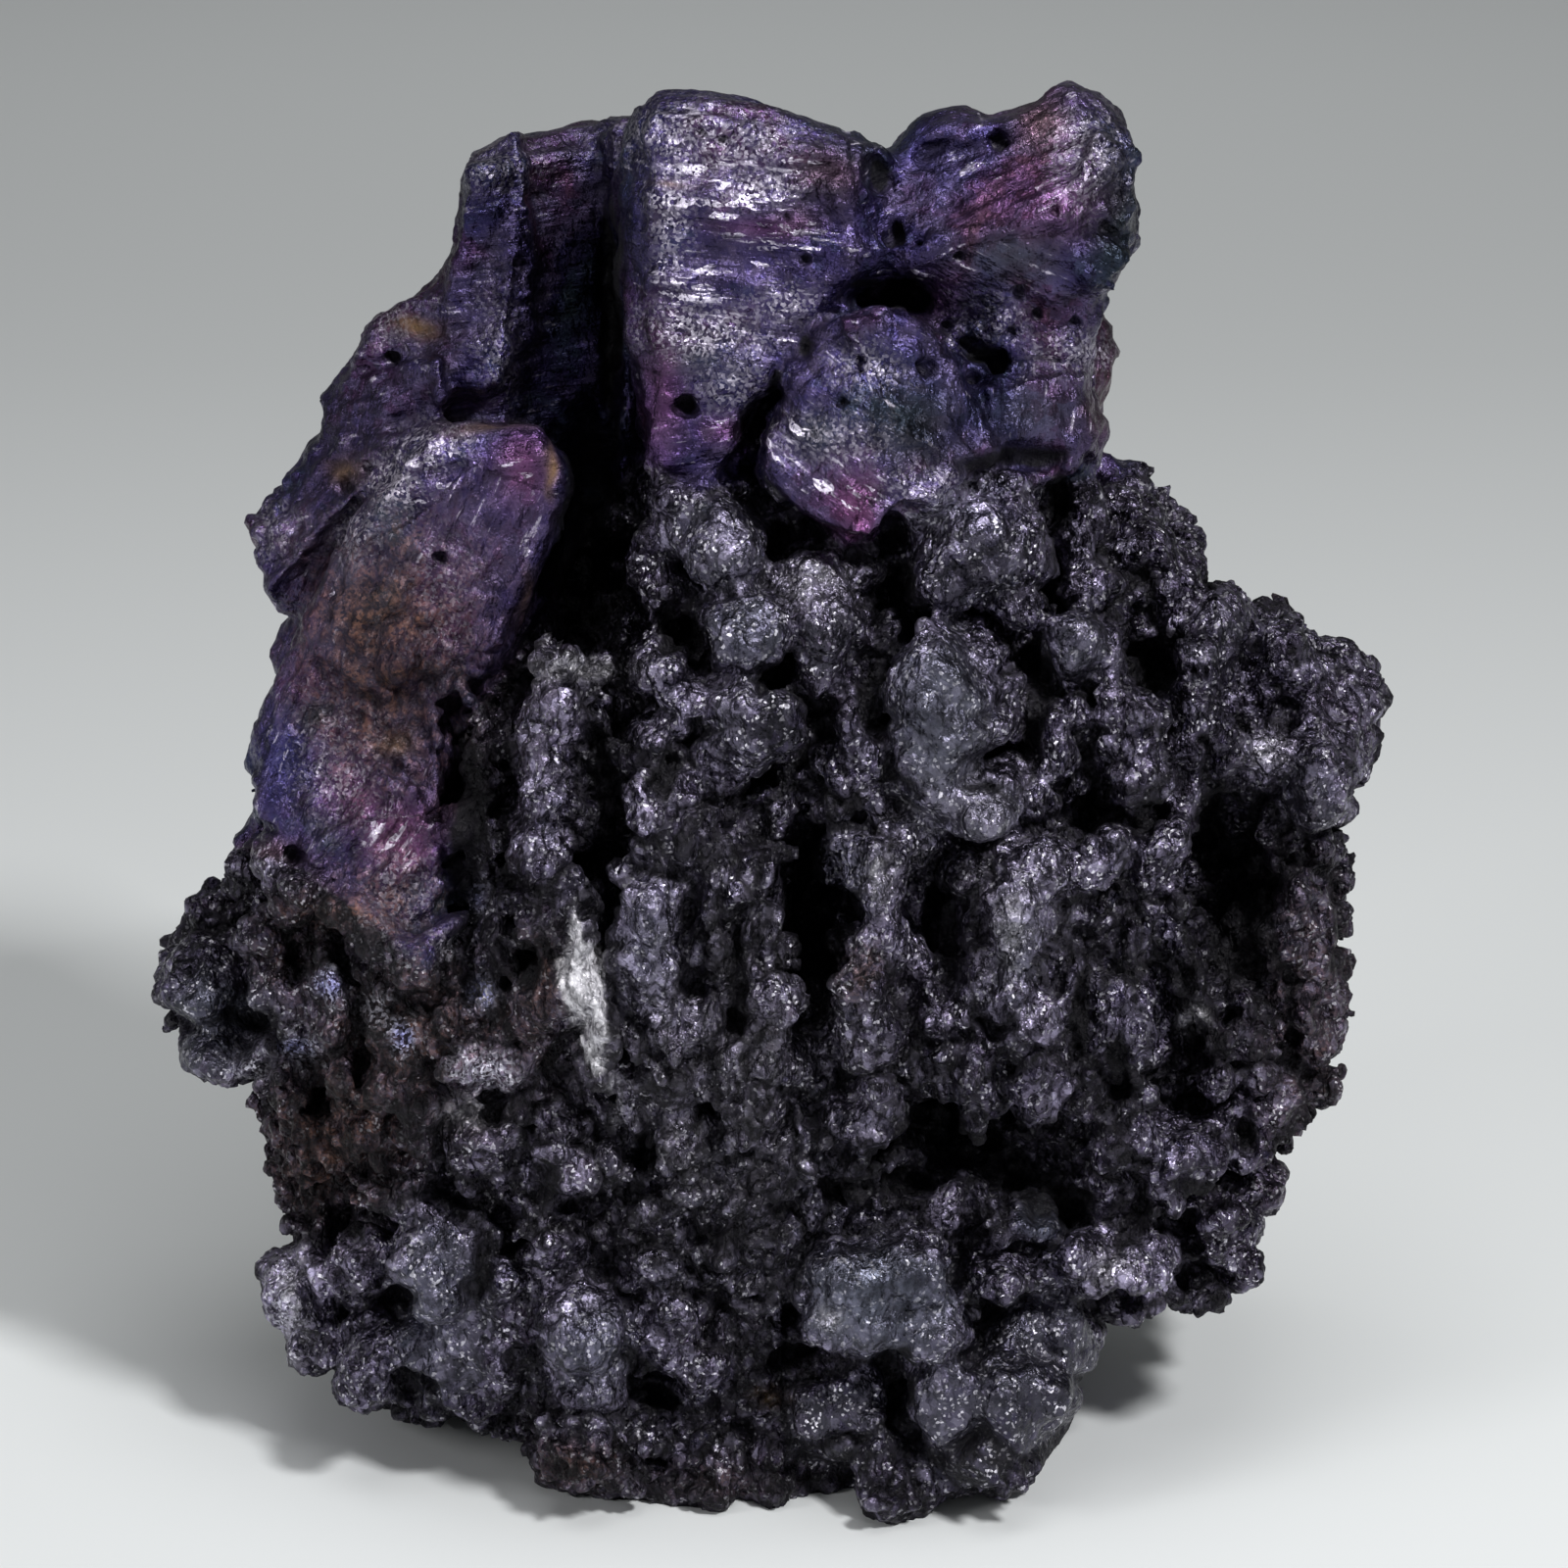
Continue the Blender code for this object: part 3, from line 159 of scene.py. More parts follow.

# Gaps that run into the crust and between the crystals, painted dark as painted shade: across, up, half
# width, half height, depth
GAPS = [
    (-10.1, 24.0, 0.75, 4.2, 1.6), (-5.6, 25.0, 0.55, 3.4, 1.7), (1.5, 21.0, 0.75, 4.0, 1.9),
    (6.2, 20.2, 0.55, 2.4, 1.6), (14.4, 17.6, 0.5, 2.4, 1.2), (13.1, 29.5, 1.0, 1.1, 2.2),
    (16.2, 20.8, 1.5, 3.4, 1.8), (15.4, 24.2, 0.9, 1.6, 1.2), (5.4, 13.8, 1.1, 1.0, 1.9),
    (6.6, 12.8, 1.8, 1.2, 2.2), (8.4, 12.4, 1.3, 1.2, 2.0), (9.6, 11.6, 0.9, 1.0, 1.7),
    (10.5, 10.9, 0.5, 0.8, 1.2), (5.0, 11.4, 1.6, 0.6, 1.6), (3.0, 11.3, 1.1, 0.6, 1.4),
    (3.8, 12.6, 0.8, 0.7, 1.4), (-6.2, 33.6, 1.3, 4.4, 2.2), (-5.2, 41.5, 0.25, 5.0, 1.0),
    (4.6, 5.0, 0.35, 1.1, 1.0), (1.2, 5.9, 1.2, 0.5, 1.1), (-3.5, 4.5, 1.0, 0.6, 1.1),
    (7.4, 39.9, 0.6, 0.2, 0.8), (3.4, 42.4, 0.55, 0.12, 0.6), (4.6, 41.7, 0.55, 0.12, 0.6),
    (3.7, 46.1, 0.35, 0.6, 1.0),
    (1.3, 40.2, 0.15, 0.35, 0.7), (0.4, 38.9, 0.08, 0.6, 0.6), (0.7, 33.7, 0.45, 0.6, 1.2),
    (4.7, 32.4, 0.6, 0.9, 1.2),
    (3.6, 28.2, 0.45, 1.5, 1.3), (9.3, 28.0, 0.5, 2.0, 1.3), (9.8, 34.6, 0.4, 1.4, 0.9),
    (8.6, 36.4, 1.8, 0.3, 0.9), (-2.9, 30.6, 0.6, 1.2, 1.1), (-9.4, 14.5, 0.6, 0.8, 0.9),
    (-3.2, 25.5, 0.4, 1.2, 0.8), (-0.9, 18.5, 0.4, 2.4, 1.0), (11.0, 18.0, 0.35, 2.6, 0.9),
    (13.0, 24.2, 0.8, 0.6, 1.2), (11.2, 24.6, 0.7, 0.6, 1.1), (-8.0, 19.0, 0.5, 1.0, 0.9),
    (12.3, 15.6, 0.4, 1.4, 0.8), (14.8, 11.6, 0.9, 0.5, 1.0), (12.6, 10.4, 0.5, 0.9, 1.0),
    (-7.8, 11.4, 0.5, 0.9, 0.8), (-4.2, 12.8, 0.5, 0.6, 0.8), (-1.6, 9.8, 0.6, 0.5, 0.8),
    (-9.2, 9.2, 0.35, 1.4, 0.8), (-14.2, 10.2, 0.5, 0.5, 0.8), (16.4, 13.6, 0.5, 0.9, 0.9),
]

# Soft spots of colour: across, up, half width, half height, strength
SPOTS = {
    "brown": [
        (-14.6, 13.4, 2.6, 2.4, 1.0), (-12.0, 16.6, 3.0, 2.8, 0.8), (-12.8, 29.5, 3.0, 4.8, 1.0),
        (-6.4, 2.4, 1.5, 0.8, 0.9), (18.6, 17.0, 2.0, 6.0, 0.4), (-1.6, 1.6, 2.6, 0.7, 0.4),
        (-9.0, 16.5, 2.0, 2.0, 0.6), (-12.8, 21.4, 1.8, 1.8, 0.8), (-13.5, 33.0, 1.8, 1.4, 0.6),
        (-14.2, 20.9, 2.4, 0.7, 0.9), (-15.2, 12.4, 1.6, 2.0, 1.0), (-7.6, 18.4, 0.8, 1.6, 0.7),
        (-15.8, 19.8, 1.6, 1.6, 0.5), (3.2, 18.9, 0.8, 0.9, 0.5),
    ],
    "ochre": [
        (-11.8, 40.7, 0.7, 0.35, 0.9), (-14.3, 35.9, 0.6, 0.4, 0.8), (-9.5, 37.3, 1.4, 0.22, 0.6),
        (-7.3, 35.8, 0.25, 1.0, 0.8), (-12.5, 26.5, 0.6, 0.4, 0.7), (0.2, 4.3, 0.5, 0.35, 0.8),
        (-8.2, 31.5, 0.25, 0.9, 0.5), (4.6, 41.9, 0.6, 0.2, 0.6), (-3.2, 45.6, 0.5, 0.12, 0.5),
    ],
    # silver: bare silver; partly the metal's own colour, partly painted highlight, as on the lit ledge at
    # the foot of the crevice
    "silver": [
        (-12.6, 23.5, 0.9, 1.0, 0.7), (-2.0, 15.0, 5.0, 6.5, 0.07), (7.0, 22.5, 3.0, 4.0, 0.05),
        (-0.6, 46.6, 2.6, 1.2, 0.55), (-1.0, 45.2, 2.2, 0.6, 1.0),
        (0.2, 43.6, 2.2, 0.8, 0.6), (-2.6, 42.4, 1.2, 1.4, 0.6), (-1.2, 41.4, 2.0, 0.6, 0.5),
        (-9.6, 18.1, 0.35, 0.4, 0.9), (14.5, 17.4, 0.35, 0.5, 0.9), (2.3, 7.2, 0.5, 0.4, 0.25),
        (3.9, 22.0, 0.5, 0.9, 0.3), (-12.4, 35.9, 1.4, 1.0, 0.7), (1.8, 32.4, 1.2, 0.8, 0.3),
        (-5.2, 14.4, 0.4, 1.0, 0.3), (-10.0, 14.0, 1.0, 0.5, 0.6), (1.0, 37.3, 1.2, 0.9, 0.95),
        (11.7, 8.8, 0.6, 0.6, 0.25), (-15.8, 7.6, 0.4, 1.6, 0.3), (8.4, 20.5, 0.5, 1.6, 0.3),
        (-6.5, 29.1, 1.6, 0.35, 0.6), (17.0, 26.5, 0.6, 0.6, 0.3), (2.4, 35.4, 2.0, 0.4, 0.4),
    ],
    # sparkle: places of painted glints, where bright facets are painted near white
    "sparkle": [
        (-2.4, 47.2, 3.0, 0.9, 1.0), (-3.2, 44.8, 0.7, 2.4, 0.8), (-0.2, 45.6, 1.4, 0.5, 0.9),
        (-2.4, 40.8, 2.0, 0.8, 1.0), (0.8, 41.6, 1.2, 0.6, 0.7), (-1.0, 38.8, 1.0, 0.8, 0.7),
        (3.2, 39.6, 1.2, 0.7, 0.5), (-13.9, 34.0, 0.7, 0.9, 1.0), (-12.7, 35.6, 0.9, 0.9, 1.0),
        (-11.2, 36.9, 1.1, 0.6, 1.0),
        (11.0, 46.4, 1.0, 1.6, 0.8), (10.6, 40.0, 1.4, 0.6, 0.8), (-9.0, 46.4, 1.4, 0.9, 0.7),
        (-14.6, 18.6, 0.5, 0.6, 1.0), (-12.4, 16.6, 0.5, 0.7, 1.0), (-15.8, 16.2, 0.6, 0.5, 1.0),
        (-13.2, 17.6, 0.5, 0.6, 0.8), (-17.4, 15.6, 0.7, 0.4, 0.8), (-16.4, 7.6, 0.5, 1.4, 0.7),
        (-9.6, 18.1, 0.5, 0.5, 1.0), (-9.6, 15.3, 1.0, 0.7, 0.9), (-10.9, 19.8, 0.5, 0.5, 0.8),
        (-9.8, 21.4, 0.4, 0.5, 0.8), (-12.5, 41.0, 1.2, 1.0, 0.5), (-14.0, 26.5, 1.6, 2.4, 0.6),
        (-11.2, 30.6, 1.2, 2.6, 0.6),
        (5.8, 35.4, 1.6, 0.9, 0.6), (-16.6, 34.0, 0.8, 1.0, 0.6), (-12.4, 21.6, 1.2, 1.6, 0.5),
        (7.6, 41.0, 1.2, 0.8, 0.6), (-9.0, 40.5, 0.8, 2.4, 0.4), (2.4, 37.0, 2.0, 0.8, 0.5),
    ],
    "slate": [
        (3.8, 7.8, 2.8, 1.8, 1.0), (9.4, 10.7, 1.0, 1.0, 0.9), (-6.0, 6.4, 1.4, 1.8, 0.6),
        (5.8, 27.8, 1.8, 2.6, 0.6), (-18.6, 17.2, 1.6, 1.8, 0.5), (-3.9, 20.0, 1.2, 2.4, 0.5),
        (8.6, 19.4, 0.8, 2.6, 0.6), (2.8, 22.3, 0.9, 1.4, 0.5), (-11.2, 8.0, 1.6, 3.0, 0.4),
        (-0.4, 30.5, 1.4, 1.4, 0.4), (18.4, 25.0, 1.4, 1.4, 0.3), (10.4, 29.8, 1.0, 1.2, 0.3),
    ],
    # dark: darker patches; those on the back crystal beside the middle one are painted shadow that the
    # middle crystal casts
    "dark": [
        (14.5, 28.5, 5.0, 7.0, 0.40), (16.5, 19.0, 3.0, 6.0, 0.45), (-14.6, 20.0, 2.0, 0.8, 0.4),
        (-9.0, 44.2, 3.0, 3.6, 0.65), (-5.6, 42.0, 1.7, 6.0, 1.0), (-10.8, 40.6, 1.8, 2.0, 0.6),
        (-12.0, 28.4, 2.6, 3.2, 0.65), (-10.2, 25.4, 1.0, 2.4, 0.7), (11.7, 44.4, 1.0, 3.0, 0.55),
        (6.0, 46.0, 2.2, 1.6, 0.35), (2.3, 44.8, 1.0, 1.8, 0.5), (-1.0, 38.0, 1.6, 1.0, 0.3),
        (5.6, 37.0, 1.6, 1.4, 0.6), (6.8, 41.4, 1.6, 0.9, 0.7), (-14.8, 37.4, 2.4, 1.8, 0.5),
        (9.4, 41.0, 2.0, 0.8, 0.5), (-4.4, 44.0, 0.5, 4.0, 0.4),
    ],
    "magenta": [
        (-3.5, 38.4, 0.8, 2.2, 0.6), (3.0, 34.8, 0.8, 1.2, 0.9), (-8.3, 35.9, 0.8, 1.2, 0.8),
        (-12.4, 23.4, 1.1, 1.2, 1.0), (-13.8, 24.7, 0.9, 0.9, 0.8), (10.0, 45.0, 1.6, 1.2, 0.5),
        (0.0, 44.3, 1.6, 0.3, 0.5),
        (-1.2, 37.3, 1.0, 0.5, 0.5), (6.0, 42.0, 1.0, 0.8, 0.4), (-11.5, 31.0, 1.6, 2.6, 0.5),
        (-14.2, 25.2, 1.2, 1.4, 0.5),
    ],
    "copper": [
        (9.4, 47.8, 1.2, 1.0, 0.8), (2.2, 46.2, 1.2, 0.8, 0.6), (-17.0, 22.7, 1.2, 0.7, 0.8),
        (-15.5, 21.5, 0.9, 0.8, 0.6), (-13.4, 20.6, 0.9, 0.5, 0.6),
        (11.4, 38.0, 0.6, 1.5, 0.6), (1.2, 44.6, 0.8, 0.6, 0.4), (-10.6, 24.6, 0.7, 0.9, 0.5),
    ],
    "green": [
        (12.0, 45.0, 1.0, 3.0, 0.7), (8.4, 43.2, 1.8, 1.0, 0.7), (-13.6, 31.5, 1.8, 2.2, 0.6),
        (-15.3, 27.8, 0.5, 0.5, 0.8), (1.9, 37.2, 0.9, 0.8, 0.7), (-2.4, 39.9, 1.7, 0.8, 0.6),
        (9.0, 38.0, 2.2, 1.0, 0.5), (4.8, 37.8, 1.8, 1.6, 0.8), (9.4, 10.7, 1.0, 0.8, 0.5),
        (-6.0, 22.6, 0.8, 1.6, 0.3),
    ],
    "blue": [
        (-16.5, 26.3, 1.1, 1.8, 0.9), (-8.6, 37.0, 0.7, 0.7, 0.6), (6.4, 46.5, 1.8, 1.4, 0.5),
        (-4.4, 43.0, 0.6, 4.0, 0.6), (-14.6, 18.6, 0.4, 0.5, 0.8), (-12.4, 16.6, 0.4, 0.5, 0.8),
        (-15.8, 16.2, 0.5, 0.4, 0.7), (-9.6, 18.1, 0.6, 0.6, 0.8), (-10.5, 45.0, 1.6, 2.0, 0.5),
        (4.0, 40.0, 1.6, 0.6, 0.5), (-9.8, 21.4, 0.4, 0.5, 0.7), (7.8, 35.0, 1.4, 0.8, 0.4),
    ],
}

# The bright silver blade in the columns, its outline: across, up; its white is a painted highlight
BLADE = [
    (-6.5, 21.3), (-6.1, 20.1), (-5.5, 19.9), (-5.4, 18.0), (-5.4, 15.6), (-5.8, 15.3), (-6.6, 17.4),
    (-7.2, 19.4), (-6.7, 19.5),
]

# Flat faces of the crystals, the outline of each: across, up
FLAT_FACES = [
    [(-3.9, 48.2), (-0.5, 47.9), (2.4, 46.4), (1.7, 41.2), (0.0, 38.4), (-3.6, 38.6), (-4.0, 42.0)],
    [(-5.2, 47.4), (-3.9, 48.2), (-4.0, 42.0), (-3.6, 36.8), (-4.8, 36.8), (-5.2, 42.0)],
    [(-3.6, 38.6), (0.0, 38.4), (-0.7, 36.8), (-0.7, 35.2), (-3.6, 35.4)],
    [(4.2, 44.6), (5.2, 47.2), (7.6, 47.1), (9.9, 49.0), (11.3, 47.6), (10.3, 44.6), (7.0, 43.7)],
    [(10.3, 44.6), (11.3, 47.6), (13.0, 46.4), (13.0, 42.4), (10.9, 42.0)],
    [(5.2, 43.0), (7.0, 43.7), (10.3, 44.6), (10.9, 42.0), (9.0, 41.4), (6.0, 41.9)],
    [(7.5, 38.9), (11.0, 39.4), (11.2, 36.4), (8.1, 36.4)],
    [(1.5, 40.9), (2.6, 41.1), (3.3, 38.0), (3.0, 33.5), (1.2, 34.7), (-0.6, 36.4), (0.4, 38.8)],
    [(2.6, 41.1), (4.3, 41.1), (6.5, 39.8), (7.8, 36.7), (5.4, 35.0), (3.0, 33.5), (3.3, 38.0)],
    [(-13.8, 40.5), (-13.2, 45.7), (-11.0, 47.4), (-8.2, 47.5), (-7.6, 40.5), (-9.5, 38.4)],
    [(-17.6, 34.6), (-14.2, 39.6), (-11.0, 39.6), (-10.6, 37.6), (-14.4, 34.6), (-16.8, 31.6)],
    [(-13.8, 33.6), (-10.4, 36.9), (-7.8, 36.6), (-7.6, 34.0), (-9.2, 30.0), (-13.0, 28.0), (-15.4, 29.6)],
    [(-13.0, 28.0), (-9.2, 30.0), (-10.4, 26.0), (-12.0, 22.6), (-15.0, 22.4), (-17.6, 25.0), (-15.4, 29.6)],
]

# Rolled rims and thin ribs: half width, height, and places along each, across and up
RIMS = [
    (0.60, 1.20, [(-16.4, 22.9), (-15.9, 21.9), (-14.9, 21.3), (-13.9, 20.9), (-13.0, 20.2),
    (-11.8, 19.3)]),
    (0.42, 0.90, [(-11.8, 19.4), (-10.7, 20.6), (-10.1, 22.6), (-10.3, 24.4)]),
    (0.40, 0.30, [(-10.4, 37.4), (-7.8, 37.1), (-7.1, 35.9), (-7.4, 34.0), (-8.4, 31.5), (-9.4, 29.6)]),
    (0.36, 1.10, [(-14.8, 19.6), (-14.4, 16.4), (-14.2, 13.0)]),
    (0.30, 1.10, [(-13.4, 19.0), (-13.1, 15.6), (-12.9, 12.4)]),
    (0.36, 1.10, [(-12.2, 18.9), (-11.9, 16.2), (-11.6, 13.0)]),
    (0.30, 1.00, [(-10.7, 19.4), (-10.5, 15.6)]),
    (0.30, 0.90, [(-9.2, 20.4), (-8.8, 16.6)]),
    (0.30, 0.60, [(-15.8, 14.6), (-15.4, 11.4)]),
    (0.55, 0.60, [(-6.5, 21.2), (-6.1, 19.4), (-5.7, 17.2), (-5.5, 15.4)]),
    (0.40, 0.50, [(-7.2, 20.0), (-6.4, 18.0), (-5.7, 16.2)]),
    (0.35, 0.45, [(-5.0, 19.8), (-5.2, 18.0), (-5.6, 16.0)]),
    (0.40, 0.40, [(-2.6, 24.6), (-3.2, 22.4), (-4.2, 20.8)]),
    (0.40, 0.40, [(16.4, 19.4), (16.8, 16.6), (16.4, 13.6)]),
    (0.40, 0.45, [(17.2, 23.6), (18.6, 21.0), (19.2, 18.0)]),
    (0.35, 0.40, [(17.0, 16.0), (18.4, 14.0), (18.8, 12.4)]),
    (0.40, 0.35, [(-8.2, 29.3), (-4.8, 29.1)]),
    (0.45, 0.30, [(7.7, 36.7), (5.4, 35.0), (3.2, 33.7)]),
]

HALF = (0.5, 0.5, 0.5)
FLOOR_REACH = 900.0
SENSOR_WIDTH = 36.0
MIDDLE = (0.0, 0.0, 25.0)

# Lamps: name, place, what each points at, width, power in watts
LAMPS = [
    ("key", (110.0, -150.0, 220.0), MIDDLE, 36.0, 0.60),
    ("fill", (-190.0, -130.0, 120.0), MIDDLE, 60.0, 0.14),
    ("top", (0.0, -60.0, 260.0), MIDDLE, 150.0, 0.22),
    ("backdrop", (0.0, 230.0, 160.0), (0.0, 520.0, 0.0), 160.0, 0.045),
]

# Lie of the striations: across, up, half width, half height, angle in degrees
GRAIN_LINES = [
    (-1.2, 43.5, 4.0, 5.0, -5.0), (-2.3, 38.8, 2.2, 2.0, 8.0), (7.6, 46.0, 4.0, 2.6, 24.0),
    (9.0, 42.2, 3.0, 2.0, -30.0), (9.0, 38.0, 2.8, 1.5, 86.0), (3.0, 37.0, 3.6, 3.2, -34.0),
    (-9.5, 43.0, 4.5, 4.6, 6.0), (-14.5, 36.0, 3.0, 3.0, 12.0), (-12.6, 29.0, 4.0, 5.4, 66.0),
    (-12.4, 21.5, 2.2, 3.2, 52.0), (-5.9, 18.4, 1.4, 3.0, 84.0),
]


def seen(points):
    """Across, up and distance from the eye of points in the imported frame."""
    away = points - EYE
    reach = away @ AHEAD
    across = VIEW_MIDDLE[0] + VIEW_DISTANCE * (away @ RIGHT) / reach
    up = VIEW_MIDDLE[1] + VIEW_DISTANCE * (away @ UP) / reach
    return across, up, reach


def inside(outline, across, up):
    """Which points lie inside the closed outline."""
    found = np.zeros(len(across), bool)
    for (x0, z0), (x1, z1) in zip(outline, outline[1:] + outline[:1]):
        if z0 == z1:
            continue
        crosses = (z0 > up) != (z1 > up)
        found ^= crosses & (across < x0 + (up - z0) / (z1 - z0) * (x1 - x0))
    return found


def smooth_step(low, high, value):
    t = np.clip((value - low) / (high - low), 0.0, 1.0)
    return t * t * (3.0 - 2.0 * t)


def hashed(cells, seed):
    """Repeatable even random numbers from 0 to 1 for whole-number cells, one for each row."""
    n = cells[:, 0] * 73856093 ^ cells[:, 1] * 19349663 ^ cells[:, 2] * 83492791 ^ seed * 2654435761
    n = (n ^ (n >> 13)) * 1274126177 & 0x7FFFFFFFFFFFFFFF
    n = (n ^ (n >> 16)) * 2246822519 & 0x7FFFFFFFFFFFFFFF
    return ((n >> 11) & 0xFFFFFF) / float(0x1000000)


def value_noise(points, size, seed):
    """Smooth noise from -1 to 1 with features of that size."""
    scaled = points / size
    cell = np.floor(scaled).astype(np.int64)
    part = scaled - cell
    part = part * part * (3.0 - 2.0 * part)
    total = np.zeros(len(points))
    for corner in range(8):
        step = np.array([corner & 1, corner >> 1 & 1, corner >> 2 & 1])
        weight = np.prod(np.where(step == 1, part, 1.0 - part), axis=1)
        total += weight * hashed(cell + step, seed)
    return total * 2.0 - 1.0


def rough_noise(points, size, seed, octaves=3):
    total, most = np.zeros(len(points)), 0.0
    for k in range(octaves):
        total += value_noise(points, size / 2.0 ** k, seed + k) / 1.7 ** k
        most += 1.0 / 1.7 ** k
    return total / most


def wandered(points, across, up, reach, size, seed):
    """Across and up, moved about by noise, so that outlines laid over them come out natural."""
    moved_across = across + reach * rough_noise(points, size, seed, 2)
    return moved_across, up + reach * rough_noise(points, size, seed + 4, 2)


def angular(points, size, seed):
    """Depth of each place in scattered angular blocks, the nearest and the next, in shares of the size."""
    draw = np.random.default_rng(seed)
    middles = draw.random((TABLE, 3))
    sides = draw.normal(size=(TABLE, 3, 3))
    sides /= np.linalg.norm(sides, axis=2, keepdims=True)
    sides *= draw.uniform(0.8, 1.25, (TABLE, 3, 1))
    scaled = points / size
    home = np.floor(scaled).astype(np.int64)
    first = np.full(len(points), 9.0)
    second = np.full(len(points), 9.0)
    for step in np.ndindex(3, 3, 3):
        cell = home + (np.array(step) - 1)
        pick = (hashed(cell, seed) * TABLE).astype(np.int64)
        away = scaled - cell - middles[pick]
        depth = np.abs(np.einsum("nij,nj->ni", sides[pick], away)).max(axis=1)
        second = np.minimum(second, np.maximum(first, depth))
        first = np.minimum(first, depth)
    return first, second


def mesh_arrays(mesh):
    """Corners in millimetres and triangles of a mesh."""
    corners = np.empty(len(mesh.vertices) * 3)
    mesh.vertices.foreach_get("co", corners)
    mesh.calc_loop_triangles()
    triangles = np.empty(len(mesh.loop_triangles) * 3, np.int32)
    mesh.loop_triangles.foreach_get("vertices", triangles)
    return corners.reshape(-1, 3) / MM, triangles.reshape(-1, 3)


def mesh_of(name, corners, faces):
    """A new mesh of corners in millimetres and faces with the same number of corners each."""
    mesh = bpy.data.meshes.new(name)
    mesh.vertices.add(len(corners))
    mesh.vertices.foreach_set("co", (corners * MM).ravel())
    sides = faces.shape[1]
    mesh.loops.add(faces.size)
    mesh.loops.foreach_set("vertex_index", faces.ravel().astype(np.int32))
    mesh.polygons.add(len(faces))
    mesh.polygons.foreach_set("loop_start", np.arange(0, faces.size, sides, dtype=np.int32))
    mesh.update(calc_edges=True)
    return mesh


def normals_of(corners, faces):
    """Unit normals at the corners."""
    a, b, c, d = (corners[faces[:, k]] for k in ((2, 0, 3, 1) if faces.shape[1] == 4 else (1, 0, 2, 0)))
    flat = np.cross(a - b, c - d)
    total = np.zeros_like(corners)
    for side in range(faces.shape[1]):
        for axis in range(3):
            total[:, axis] += np.bincount(faces[:, side], flat[:, axis], len(corners))
    return total / np.maximum(np.linalg.norm(total, axis=1, keepdims=True), 1e-12)


def grain_shapes(draw):
    """A few angular closed shapes, about one across: corners and triangles."""
    shapes = []
    for _ in range(7):
        mesh = bmesh.new()
        for _ in range(13):
            way = draw.normal(size=3)
            mesh.verts.new(way / np.linalg.norm(way) * draw.uniform(0.85, 1.0))
        made = bmesh.ops.convex_hull(mesh, input=mesh.verts)
        loose = [v for v in made["geom_interior"] + made["geom_unused"] if isinstance(v, bmesh.types.BMVert)]
        bmesh.ops.delete(mesh, geom=list(set(loose)), context="VERTS")
        mesh.verts.index_update()
        corners = np.array([v.co[:] for v in mesh.verts])
        shapes.append((corners, np.array([[v.index for v in f.verts] for f in mesh.faces])))
        mesh.free()
    return shapes


def random_turns(draw, count):
    """Rotation matrices spread evenly."""
    q = draw.normal(size=(count, 4))
    w, x, y, z = (q / np.linalg.norm(q, axis=1, keepdims=True)).T
    rows = [[1 - 2 * (y * y + z * z), 2 * (x * y - z * w), 2 * (x * z + y * w)],
            [2 * (x * y + z * w), 1 - 2 * (x * x + z * z), 2 * (y * z - x * w)],
            [2 * (x * z - y * w), 2 * (y * z + x * w), 1 - 2 * (x * x + y * y)]]
    return np.moveaxis(np.array(rows), 2, 0)


def smooth_share(points):
    """1 on smooth crystal faces and lumps, 0 on the grainy crust."""
    across, up, _ = seen(points)
    share = inside(CRYSTAL_ZONE, across, up).astype(float)
    bend = 0.35 * rough_noise(points, 1.8, 13, 2)
    share *= 1.0 - blob(across + 2.0 * bend, up + bend, ROUGH_SPOTS)
    on_front = points[:, 1] < -2.0
    for middle, level, wide, high, strength in SMOOTH_LUMPS:
        away = np.hypot((across - middle) / wide, (up - level) / high) + bend
        share = np.maximum(share, strength * (1.0 - smooth_step(0.75, 1.1, away)) * on_front)
    return share


def grain_places(corners, triangles, draw):
    """Where grains stand, which way is out there, and how large each is."""
    a, b, c = (corners[triangles[:, k]] for k in range(3))
    turned = np.cross(b - a, c - a)
    area = np.linalg.norm(turned, axis=1)
    pick = draw.choice(len(triangles), GRAIN_COUNT, p=area / area.sum())
    s, t = draw.random((2, GRAIN_COUNT, 1))
    flip = s + t > 1.0
    s, t = np.where(flip, 1.0 - s, s), np.where(flip, 1.0 - t, t)
    place = a[pick] + s * (b - a)[pick] + t * (c - a)[pick]
    out = turned[pick] / np.maximum(area[pick], 1e-9)[:, None]
    share = smooth_share(place)
    keep = (draw.random(GRAIN_COUNT) > share * 0.97) & (place[:, 2] > 0.9)
    place, out, share = place[keep], out[keep], share[keep]
    small, large = GRAIN_SIZE
    size = small * (large / small) ** (draw.random(len(place)) ** 1.6)
    clump = rough_noise(place, 3.0, 11, 2)
    size *= 1.0 + 0.45 * clump
    size = np.where(share > 0.3, size * 0.6, size)
    across, up, _ = seen(place)
    _, nearest, _ = lump_relief(place, across, up)
    return place, out, size * (0.62 + 0.38 * smooth_step(0.85, 1.5, nearest))


